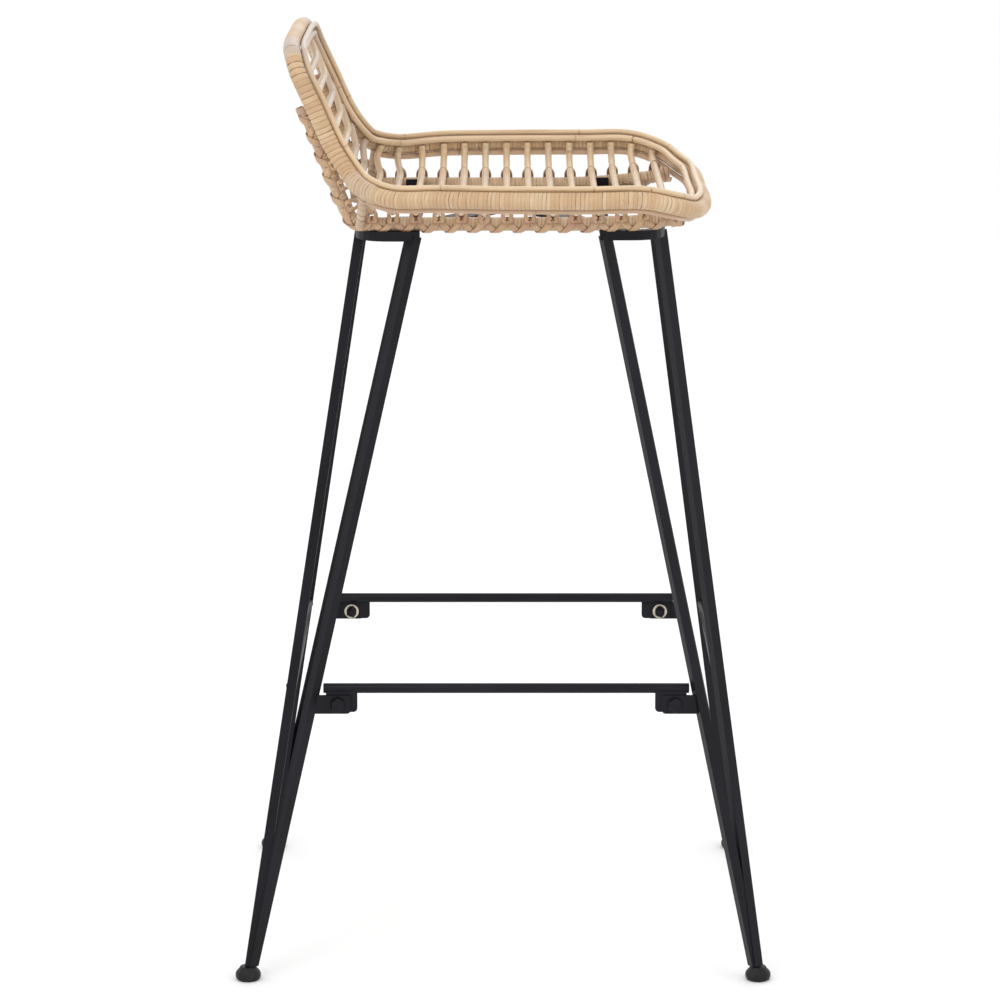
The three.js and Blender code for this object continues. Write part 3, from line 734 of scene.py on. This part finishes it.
def powder_coat(steel):
    """Matte black powder coat: a fine orange-peel, faint cloudy patches and light specks of dust."""
    f = Finish("black powder coat")
    place = f.object_place()
    peel = f.noise(place, 900.0, 2.0)
    cloud = f.noise(place, 14.0, 3.0)
    color = f.mix(f.span(cloud, 0.35, 0.7), steel.paint, tinted(steel.paint, 1.9))
    dust = f.noise(place, 160.0, 3.0, 0.7)
    color = f.mix(f.span(dust, 0.68, 0.8, 0.0, 0.5), color, tinted(steel.paint, 6.0))
    return f.set(color=color, rough=f.span(cloud, 0.3, 0.7, 0.34, 0.46), normal=f.bump(peel, 0.00012, 0.4),
                 metal=0.0, specular=0.17)


def moulded_black(steel):
    """Moulded nylon of the glides."""
    f = Finish("moulded nylon")
    place = f.object_place()
    grain = f.noise(place, 1400.0, 2.0)
    scuff = f.noise(place, 90.0, 4.0, 0.65)
    color = f.mix(f.span(scuff, 0.5, 0.8), steel.glide, tinted(steel.glide, 3.0))
    return f.set(color=color, rough=f.span(scuff, 0.3, 0.7, 0.38, 0.55), normal=f.bump(grain, 0.0001, 0.4),
                 specular=0.22)


def zinc_plate(steel):
    """Bright zinc with a faint yellow passivate."""
    f = Finish("zinc plate")
    place = f.object_place()
    cloud = f.noise(place, 320.0, 3.0)
    color = f.mix(cloud, steel.zinc, tinted(steel.zinc, 0.72))
    return f.set(color=color, rough=f.span(cloud, 0.3, 0.7, 0.22, 0.4), metal=1.0,
                 normal=f.bump(f.noise(place, 1500.0), 0.00005, 0.3))


FINISH_MAKERS = {
    "wound": (wound_cane, "stool_cane"),
    "peeled": (peeled_cane, "stool_cane"),
    "skin": (cane_skin, "stool_cane"),
    "paint": (powder_coat, "stool_steel"),
    "glide": (moulded_black, "stool_steel"),
    "zinc": (zinc_plate, "stool_steel"),
}
FINISHES = {}


def finish_of(name):
    """A material by its short name, made when it is first asked for."""
    if name not in FINISHES:
        maker, settings = FINISH_MAKERS[name]
        FINISHES[name] = maker(getattr(bpy.context.scene, settings))
    return FINISHES[name]


# ---------------------------------------------------------------- the seat
def ease(x, low, high):
    t = min(max((x - low) / (high - low), 0.0), 1.0)
    return t * t * (3 - 2 * t)


RIM_T = np.linspace(0, 1, 400)
RIM_RUN = lengths(beside_rim(RIM_T))
RIM_X = beside_rim(RIM_T)[:, 0]


def half_of(share):
    """Place along the half rim, 0 at the front and 1 at the crest, of a share of the loop's length."""
    return float(np.interp((1 - abs(2 * (share % 1) - 1)) * RIM_RUN[-1], RIM_RUN, RIM_T))


class RimPole(bpy.types.Operator):
    """Wind the pole that runs round the seat and over the back"""
    bl_idname = "stool.rim_pole"
    bl_label = "Rim pole"

    def execute(self, context):
        cane = context.scene.stool_cane
        points = round_rim(np.linspace(0, 1, 2400, endpoint=False))
        points, _ = even(np.vstack([points, points[:1]]), 1.5)
        points = points[:-1]
        guide = toward_middle(points)

        def back(share):
            return ease(half_of(share), 0.55, 0.6)

        def crest(share):
            return ease(half_of(share), 0.85, 0.86)

        def width(share):
            turn = cane.wrap_width + (cane.back_wrap_width - cane.wrap_width) * back(share)
            return turn * (1 + 0.9 * crest(share))

        def relief(share):
            return (0.4 + 0.3 * back(share)) * (1 - 0.7 * crest(share))

        def tone(share):
            half = half_of(share)
            return 0.85 * ease(half, 0.852, 0.858) * (1 - ease(half, 0.94, 0.96))

        pole = wound_pole("rim_pole_wound", points, cane.rim_diameter / 2, width, relief, 5, guide,
                          closed=True, sides=22, tone=tone)
        finish_piece(pole, "wrapped_cane", "wound", "rim_pole")
        return {"FINISHED"}


class RimRods(bpy.types.Operator):
    """Lay the smooth canes beside the rim pole"""
    bl_idname = "stool.rim_rods"
    bl_label = "Rim canes"

    def execute(self, context):
        for name, place, radius, seam, seed in (("rim_top_rod", TOP_ROD, 2.8, 0.88, 11),
                                                ("rim_inner_rod", INNER_ROD, 3.1, 0.12, 12)):
            turns = seam + np.linspace(0.0003, 0.9997, 1600)
            rod = cane_rod(name + "_cane", round_rim(turns, place), radius, seed, sides=12, step=4.0)
            self.grey_crest(rod)
            finish_piece(rod, "peeled_cane", "peeled", name)
        turns = np.linspace(-LOWER_ROD_REACH, LOWER_ROD_REACH, 900)
        rod = cane_rod("rim_lower_rod_cane", round_rim(turns, LOWER_ROD), 2.8, 13, sides=12, step=4.0,
                       tone=-0.6)
        finish_piece(rod, "peeled_cane", "peeled", "rim_lower_rod")
        return {"FINISHED"}

    def grey_crest(self, rod):
        """The canes turn greyish towards the top of the back."""
        co = np.zeros(len(rod.data.vertices) * 3, np.float32)
        rod.data.vertices.foreach_get("co", co)
        height = co.reshape(-1, 3)[:, 2] / MM
        tone = 0.75 * np.clip((height - 845) / 35, 0, 1)
        rod.data.attributes["tone"].data.foreach_set("value", tone.astype(np.float32))


class Ribs(bpy.types.Operator):
    """Bend the ribs that make the floor and back of the seat"""
    bl_idname = "stool.ribs"
    bl_label = "Ribs"

    def execute(self, context):
        cane = context.scene.stool_cane
        rng = np.random.default_rng(21)
        for i in range(RIB_COUNT):
            tone = rng.uniform(-0.25, 0.3) + (0.45 if i > 13 else 0.0)
            name = f"rib_{i + 1:02d}"
            rib = cane_rod(name + "_cane", rib_line(i), cane.rib_diameter / 2, 30 + i, sides=14, step=2.6,
                           tone=tone)
            finish_piece(rib, "peeled_cane", "peeled", name)
        return {"FINISHED"}


class SidePoles(bpy.types.Operator):
    """Wind the two poles under the sides of the seat, and the corner posts"""
    bl_idname = "stool.side_poles"
    bl_label = "Side poles and posts"

    def execute(self, context):
        cane = context.scene.stool_cane
        for side, s in SIDES:
            self.pole(side, s, cane)
            self.post(side, s)
            self.corner(side, s, cane)
        return {"FINISHED"}

    def pole(self, side, s, cane):
        """A side pole, and the bands at its ends."""
        points = np.array([pole_point(d, s) for d in np.linspace(POLE_START, POLE_END, 420)])
        points, _ = even(points, 1.2)
        guide = np.tile([0.0, float(s), 0.0], (len(points), 1))
        pole = wound_pole(f"side_pole_{side}_wound", points, cane.pole_diameter / 2, 3.6, 0.45, 40 + s,
                          guide, sides=18, tone=0.12)
        finish_piece(pole, "wrapped_cane", "wound", f"side_pole_{side}")
        bands = join(self.end_bands(points, guide, cane), f"pole_end_binding_{side}")
        finish_piece(bands, "wrapped_cane", "skin")

    def end_bands(self, points, guide, cane):
        """Two bands drawn tight round each end of a pole, so the winding can't slip off."""
        _, normal, binormal = frames(points, guide)
        run, bands = lengths(points), []
        for k, start in enumerate((3.0, 8.5, run[-1] - 9.0, run[-1] - 3.5)):
            turn = np.linspace(0, 1, 40)
            at = start + (turn - 0.5) * (1.6 if k % 2 else -1.8)
            angle = (turn * 1.06 * 2 * np.pi + k * 1.3)[:, None]
            n, b = unit(points_at(normal, run, at)), unit(points_at(binormal, run, at))
            ring = np.cos(angle) * n + np.sin(angle) * b
            line = points_at(points, run, at) + ring * (cane.pole_diameter / 2 + 0.35 + 0.5 * turn[:, None])
            bands.append(strip(f"band_{k}", line, ring, 4.6, 1.0, 500 + k, 0.1))
        return bands

    def post(self, side, s):
        """The corner post, from the side pole up to the rim."""
        foot = pole_point(POLE_START + POST_SHARE * (POLE_END - POLE_START), s) + np.array([0, s * 10.8, -2])
        rim = beside_rim(POST_RIM_T)[0] * np.array([1, s, 1])
        up = unit(rim - foot)
        line = np.linspace(foot - up * 3.0, rim - up * 4.0, 30)
        post = wound_pole(f"corner_post_{side}_wound", line, 4.3, 6.5, 0.5, 50 + s, sides=16, tone=0.4,
                          slant=1.4)
        finish_piece(post, "wrapped_cane", "wound", f"corner_post_{side}")

    def corner(self, side, s, cane):
        """The coarse binding over the rim where the post meets it."""
        over = np.interp([117.0, 142.0], -RIM_X, RIM_T)
        line = beside_rim(np.linspace(*over, 60)) * np.array([1, s, 1])
        binding = wound_pole(f"corner_binding_{side}", line, cane.rim_diameter / 2 + 0.9, 4.4, 0.6, 60 + s,
                             tone=0.3, slant=2.2)
        finish_piece(binding, "wrapped_cane", "wound")


def on_pole(along, degrees, radius):
    """A place round a side pole and the way out there: along it, out to the side, and up."""
    out, up = math.cos(math.radians(degrees)), math.sin(math.radians(degrees))
    return np.array([along, radius * out, radius * up]), np.array([0, out, up])


class Lashings(bpy.types.Operator):
    """Tie every rib to the side poles: a loop over the rib, its ends crossed on the outside of the pole"""
    bl_idname = "stool.lashings"
    bl_label = "Lashings"

    def execute(self, context):
        cane = context.scene.stool_cane
        for side, s in SIDES:
            ties = [self.tie(i, s, cane) for i in range(RIB_COUNT)]
            lashings = join(ties, f"rib_lashings_{side}")
            finish_piece(lashings, "wrapped_cane", "skin")
        return {"FINISHED"}

    def keys(self, cane, rng):
        """The places that a tie passes through, from end to end, and the way it faces at each."""
        low, high = cane.pole_diameter / 2 + 0.45, cane.pole_diameter / 2 + 1.45
        rib, gap = cane.rib_diameter / 2, SEAT_PITCH / 2
        crossing = rng.normal(40, 5)
        bottom = rng.normal(-66, 4)
        over = rng.normal(6.0, 0.7)
        round_pole = [
            on_pole(-gap - 3.6, -165, low),
            on_pole(-gap - 2.6, -115, low),
            on_pole(-gap, bottom, low),
            on_pole(-gap / 2, (bottom + crossing) / 2 - 4, low),
            on_pole(0.0, crossing, low)]
        up_rib = [
            (np.array([rib * 0.75, over + 3.4, POLE_OFFSET - 6.0]), np.array([0.2, 0.95, 0.25])),
            (np.array([rib + 0.7, over + 1.2, POLE_OFFSET - 1.0]), np.array([0.82, 0.57, 0.0])),
            (np.array([rib * 0.74, over + 1.0, POLE_OFFSET + rib * 0.72]), np.array([0.55, 0.5, 0.6]))]
        peak = (np.array([0, over + 1.2, POLE_OFFSET + rib + 0.6]), np.array([0, 0.72, 0.65]))
        first, second, mirror = round_pole + up_rib, [], np.array([-1, 1, 1])
        for k, (place, out) in enumerate(first):
            lift = high - low if k < len(round_pole) else 0.0       # the second end crosses over the first
            second.append(((place + out * lift) * mirror, out * mirror))
        return first + [peak] + second[::-1]

    def tie(self, i, s, cane):
        rng = np.random.default_rng(300 + i * 2 + (s > 0))
        keys = self.keys(cane, rng)
        places, normals = np.array([k[0] for k in keys]), np.array([k[1] for k in keys], float)
        u = np.linspace(0, 1, 84)
        line, facing = centripetal(places, u), unit(centripetal(normals, u))
        world, turned = np.zeros_like(line), np.zeros_like(line)
        distance = rib_distance(i)
        for k, (p, n) in enumerate(zip(line, facing)):
            d = min(max(distance + p[0], POLE_START), POLE_END)
            _, along = floor_at(d)
            up, out = -outward_of(along), np.array([0, s, 0])
            world[k] = pole_point(d, s) + out * p[1] + up * p[2]
            turned[k] = along * n[0] + out * n[1] + up * n[2]
        over_rib = np.clip(1 - np.abs(u - 0.5) / 0.24, 0, 1)
        over_rib = over_rib * over_rib * (3 - 2 * over_rib)
        width = cane.lashing_width * rng.uniform(0.92, 1.1) * (1 - 0.5 * over_rib)
        tone = rng.uniform(-0.15, 0.15) + 0.15 * over_rib
        return strip(f"tie_{i}_{s}", world, turned, width, cane.lashing_thickness * (1 + 0.5 * over_rib),
                     i * 2 + (s > 0), tone)


# ---------------------------------------------------------------- the steel frame
class SteelFrame(bpy.types.Operator):
    """Round the edges of the square bars and give the frame its powder coat"""
    bl_idname = "stool.steel_frame"
    bl_label = "Steel frame"

    def execute(self, context):
        steel = context.scene.stool_steel
        names = [f"leg_{end}_{side}" for end, _, side, _ in CORNERS] + ["seat_cross_strap"]
        names += [f"seat_screw_{end}_{side}" for end, _, side, _ in CORNERS]
        for name in names:
            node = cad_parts[name]
            node.data.materials.clear()
            node.data.materials.append(finish_of("paint"))
            weld = node.modifiers.new("Weld", "WELD")
            weld.merge_threshold = 0.00002
            bevel = node.modifiers.new("Edges", "BEVEL")
            bevel.width = steel.edge_radius if name.startswith("leg") else 0.0005
            bevel.segments = 3
            bevel.limit_method = "ANGLE"
            bevel.angle_limit = math.radians(50)
        return {"FINISHED"}


BAR_RADIUS = 0.0048             # of the footrest and of the crossbars
TAB_THICKNESS = 0.003


def round_bar(name, centre, length, axis):
    """A round bar with softened ends."""
    deselect()
    turn = {"X": (0, math.pi / 2, 0), "Y": (math.pi / 2, 0, 0)}[axis]
    bpy.ops.mesh.primitive_cylinder_add(vertices=32, radius=BAR_RADIUS, depth=length, location=centre,
                                        rotation=turn)
    bar = named(settle(active()), name)
    modify(bar, "BEVEL", width=0.0006, segments=2, limit_method="ANGLE", angle_limit=math.radians(60))
    bar.data.shade_smooth()
    return bar


class Footrest(bpy.types.Operator):
    """Make the footrest bars with their tabs, and the welded crossbars"""
    bl_idname = "stool.footrest"
    bl_label = "Footrest"

    def execute(self, context):
        for side, s in SIDES:
            low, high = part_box(f"footrest_bar_{side}")
            y = (low.y + BAR_RADIUS) if s > 0 else (high.y - BAR_RADIUS)
            centre = ((low.x + high.x) / 2, y, high.z - BAR_RADIUS)
            bar = round_bar("bar", centre, high.x - low.x, "X")
            tab_y = high.y - TAB_THICKNESS / 2 if s > 0 else low.y + TAB_THICKNESS / 2
            plates = [self.plate(e, tab_y, low.z, centre[2] - 0.002) for _, e in ENDS]
            rest = smooth(join([bar] + plates, f"footrest_bar_{side}_finished"))
            finish_piece(rest, "black_steel", "paint", f"footrest_bar_{side}")
        for end, _ in ENDS:
            low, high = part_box(f"{end}_crossbar")
            centre = (low + high) / 2
            bar = smooth(round_bar(f"{end}_crossbar_finished", centre, high.y - low.y, "Y"))
            finish_piece(bar, "black_steel", "paint", f"{end}_crossbar")
        return {"FINISHED"}

    def plate(self, e, y, bottom, top):
        """A flat tab, rounded at the lower corner away from the leg."""
        deselect()
        centre_x = 0.003 + e * 0.161 - e * 0.004
        bpy.ops.mesh.primitive_cube_add(size=1, location=(centre_x, y, (top + bottom) / 2))
        piece = active()
        piece.scale = (0.030, TAB_THICKNESS, top - bottom)
        settle(piece)
        bpy.ops.object.mode_set(mode="EDIT")
        bpy.ops.mesh.select_mode(type="EDGE")
        bpy.ops.mesh.select_all(action="DESELECT")
        bpy.ops.object.mode_set(mode="OBJECT")
        for edge in piece.data.edges:
            a, b = (piece.data.vertices[k].co for k in edge.vertices)
            runs_through = abs(a.x - b.x) < 1e-6 and abs(a.z - b.z) < 1e-6
            edge.select = runs_through and a.z < (top + bottom) / 2 and (a.x - centre_x) * e < 0
        bpy.ops.object.mode_set(mode="EDIT")
        bpy.ops.mesh.bevel(offset=0.004, segments=6, affect="EDGES")
        bpy.ops.object.mode_set(mode="OBJECT")
        return modify(piece, "BEVEL", width=0.0005, segments=2, limit_method="ANGLE",
                      angle_limit=math.radians(50))


def hexagon(across, height, place, toward):
    """A hexagonal prism on an axis along Y."""
    deselect()
    bpy.ops.mesh.primitive_cylinder_add(vertices=6, radius=across / math.sqrt(3), depth=height,
                                        location=place, rotation=(math.pi / 2, 0, toward))
    return settle(active())


def rod_along_y(radius, low, high, place, vertices=24):
    deselect()
    middle = (place[0], (low + high) / 2, place[2])
    bpy.ops.mesh.primitive_cylinder_add(vertices=vertices, radius=radius, depth=high - low, location=middle,
                                        rotation=(math.pi / 2, 0, 0))
    return settle(active())


def bored(piece, radius):
    """Cuts a round hole through a piece along Y."""
    corners = np.array([v.co for v in piece.data.vertices])
    middle = (corners.min(0) + corners.max(0)) / 2
    drill = rod_along_y(radius, corners[:, 1].min() - 0.002, corners[:, 1].max() + 0.002, middle, 32)
    modify(piece, "BOOLEAN", object=drill, operation="DIFFERENCE", solver="EXACT")
    bpy.data.objects.remove(drill)
    return piece


def softened(piece, width):
    modify(piece, "BEVEL", width=width, segments=3, limit_method="ANGLE", angle_limit=math.radians(30))
    return smooth(piece)


BOLT_HEAD_ACROSS = 0.0125
BOLT_HEAD_HEIGHT = 0.0045
BOLT_RADIUS = 0.00295
NUT_ACROSS = 0.010
NUT_BORE_RADIUS = 0.0032
WASHER_RADIUS = 0.0075
WASHER_BORE_RADIUS = 0.0033


class Fasteners(bpy.types.Operator):
    """Make the bolts, washers and nuts that hold the footrest bars"""
    bl_idname = "stool.fasteners"
    bl_label = "Bolts, washers and nuts"

    def execute(self, context):
        for end, _, side, s in CORNERS:
            self.bolt(f"footrest_bolt_{end}_{side}", s)
            self.nut(f"footrest_nut_{end}_{side}")
            self.washer(f"footrest_washer_{end}_{side}")
        return {"FINISHED"}

    def bolt(self, node, s):
        low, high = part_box(node)
        middle = (low + high) / 2
        head_y = high.y - BOLT_HEAD_HEIGHT / 2 if s > 0 else low.y + BOLT_HEAD_HEIGHT / 2
        head = hexagon(BOLT_HEAD_ACROSS, BOLT_HEAD_HEIGHT, (middle.x, head_y, middle.z), 0.4)
        head = softened(head, 0.0007)
        tip = low.y if s > 0 else high.y
        shank = softened(rod_along_y(BOLT_RADIUS, min(tip, head_y), max(tip, head_y), middle), 0.0005)
        finish_piece(join([head, shank], node + "_finished"), "black_steel", "paint", node)

    def nut(self, node):
        low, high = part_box(node)
        nut = hexagon(NUT_ACROSS, high.y - low.y, (low + high) / 2, 0.9)
        nut = softened(bored(nut, NUT_BORE_RADIUS), 0.0004)
        finish_piece(named(nut, node + "_finished"), "black_steel", "paint", node)

    def washer(self, node):
        low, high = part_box(node)
        disc = rod_along_y(WASHER_RADIUS, low.y, high.y, (low + high) / 2, 48)
        washer = softened(bored(disc, WASHER_BORE_RADIUS), 0.00025)
        finish_piece(named(washer, node + "_finished"), "zinc_plate", "zinc", node)


# radius and height of each ring of a glide from the floor up, in millimetres
GLIDE_PROFILE = ((9.25, 0.0), (10.7, 0.5), (11.6, 1.7), (12.1, 3.2), (12.25, 4.9), (12.05, 6.4),
                 (11.5, 7.8), (10.4, 9.2), (9.3, 10.3), (8.3, 11.4), (8.0, 12.4), (7.4, 13.0))


class Glides(bpy.types.Operator):
    """Turn the domed glides under the feet"""
    bl_idname = "stool.glides"
    bl_label = "Glides"

    def execute(self, context):
        for end, _, side, _ in CORNERS:
            low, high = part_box(f"glide_{end}_{side}")
            x, y = (low.x + high.x) / 2, (low.y + high.y) / 2
            deselect()
            bpy.ops.mesh.primitive_circle_add(vertices=48, radius=GLIDE_PROFILE[0][0] * MM, fill_type="NGON",
                                              location=(x, y, low.z))
            glide = settle(active())
            bpy.ops.object.mode_set(mode="EDIT")
            bpy.ops.mesh.select_all(action="SELECT")
            for (r0, z0), (r1, z1) in zip(GLIDE_PROFILE[:-1], GLIDE_PROFILE[1:]):
                bpy.ops.mesh.extrude_region_move(TRANSFORM_OT_translate={"value": (0, 0, (z1 - z0) * MM)})
                bpy.ops.transform.resize(value=(r1 / r0, r1 / r0, 1), center_override=(x, y, low.z + z1 * MM))
            bpy.ops.mesh.select_all(action="SELECT")
            bpy.ops.mesh.normals_make_consistent(inside=False)
            bpy.ops.object.mode_set(mode="OBJECT")
            smooth(named(glide, f"glide_{end}_{side}_finished"), 50)
            finish_piece(glide, "black_glide", "glide", f"glide_{end}_{side}")
        return {"FINISHED"}


class Welds(bpy.types.Operator):
    """Lay the weld beads where bars meet"""
    bl_idname = "stool.welds"
    bl_label = "Weld beads"

    def execute(self, context):
        rng = np.random.default_rng(77)
        beads = []
        for end, _ in ENDS:
            low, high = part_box(f"{end}_crossbar")
            middle = (low + high) / 2
            bar = (high.x - low.x) / 2
            for y in (low.y + 0.0003, high.y - 0.0003):
                deselect()
                bpy.ops.mesh.primitive_torus_add(
                    location=(middle.x, y, middle.z), rotation=(math.pi / 2, 0, 0), major_segments=40,
                    minor_segments=10, major_radius=bar - 0.0004, minor_radius=0.0011)
                beads.append(settle(active()))
        for bead in beads:
            co = np.array([v.co for v in bead.data.vertices])
            centre = co.mean(0)
            wave = 1 + 0.05 * np.sin(co @ rng.normal(0, 1500, 3) + rng.uniform(0, 6))
            bead.data.vertices.foreach_set("co", (centre + (co - centre) * wave[:, None]).ravel())
            bead.data.shade_smooth()
        welds = join(beads, "weld_beads")
        finish_piece(welds, "black_steel", "paint")
        return {"FINISHED"}


# name, place, size and power of each lamp
LAMPS = (
    ("key", (-1.4, -2.4, 3.2), 2.2, 22),
    ("fill", (2.6, -2.0, 1.8), 2.4, 8),
    ("rim light", (0.4, 2.8, 2.6), 2.2, 10),
)


class Studio(bpy.types.Operator):
    """Set up the floor, the lights and the camera"""
    bl_idname = "stool.studio"
    bl_label = "Studio"

    def execute(self, context):
        studio = context.scene.stool_studio
        deselect()
        bpy.ops.mesh.primitive_plane_add(size=80, location=(0, 0, 0))
        floor = active()
        floor.name = "studio_floor"
        f = Finish("studio floor")
        floor.data.materials.append(f.set(color=(*studio.floor, 1), rough=0.9, specular=0.1))
        world = bpy.data.worlds.new("studio sky")
        world.use_nodes = True
        sky = world.node_tree.nodes["Background"]
        sky.inputs["Color"].default_value = (1.0, 1.0, 1.0, 1)
        sky.inputs["Strength"].default_value = studio.sky
        context.scene.world = world
        for name, place, size, power in LAMPS:
            light = bpy.data.lights.new(name, "AREA")
            light.shape, light.size, light.energy = "DISK", size, power
            lamp = bpy.data.objects.new(name, light)
            lamp.location = place
            lamp.rotation_euler = (Vector((0, 0, 0.6)) - Vector(place)).to_track_quat("-Z", "Y").to_euler()
            context.scene.collection.objects.link(lamp)
        lens = bpy.data.cameras.new("camera")
        lens.lens, lens.sensor_width = studio.lens, 36
        lens.clip_start, lens.clip_end = 0.05, 200
        camera = bpy.data.objects.new("camera", lens)
        camera.location = studio.place
        camera.rotation_euler = (math.pi / 2 - studio.pitch, 0, 0)
        context.scene.collection.objects.link(camera)
        context.scene.camera = camera
        context.scene.view_settings.view_transform = "Standard"
        return {"FINISHED"}


class StoolPanel(bpy.types.Panel):
    """Lists the pieces of the stool in the order in which they are made"""
    bl_idname = "VIEW3D_PT_cane_stool"
    bl_label = "Cane stool"
    bl_space_type = "VIEW_3D"
    bl_region_type = "UI"
    bl_category = "Cane stool"

    def draw(self, context):
        for maker in MAKERS:
            self.layout.operator(maker.bl_idname)
        for settings in (context.scene.stool_cane, context.scene.stool_steel, context.scene.stool_studio):
            box = self.layout.box()
            for name in settings.__annotations__:
                box.prop(settings, name)


MAKERS = (Studio, RimPole, RimRods, Ribs, SidePoles, Lashings, SteelFrame, Footrest, Fasteners, Glides, Welds)
SETTINGS = (("stool_cane", CaneSettings), ("stool_steel", SteelSettings), ("stool_studio", StudioSettings))


def register():
    for kind in (*(s for _, s in SETTINGS), *MAKERS, StoolPanel):
        bpy.utils.register_class(kind)
    for name, kind in SETTINGS:
        setattr(bpy.types.Scene, name, bpy.props.PointerProperty(type=kind))


def unregister():
    for name, _ in SETTINGS:
        delattr(bpy.types.Scene, name)
    for kind in (StoolPanel, *reversed(MAKERS), *(s for _, s in reversed(SETTINGS))):
        bpy.utils.unregister_class(kind)


def main():
    register()
    for maker in MAKERS:
        group, name = maker.bl_idname.split(".")
        getattr(getattr(bpy.ops, group), name)()


if __name__ == "__main__":
    main()
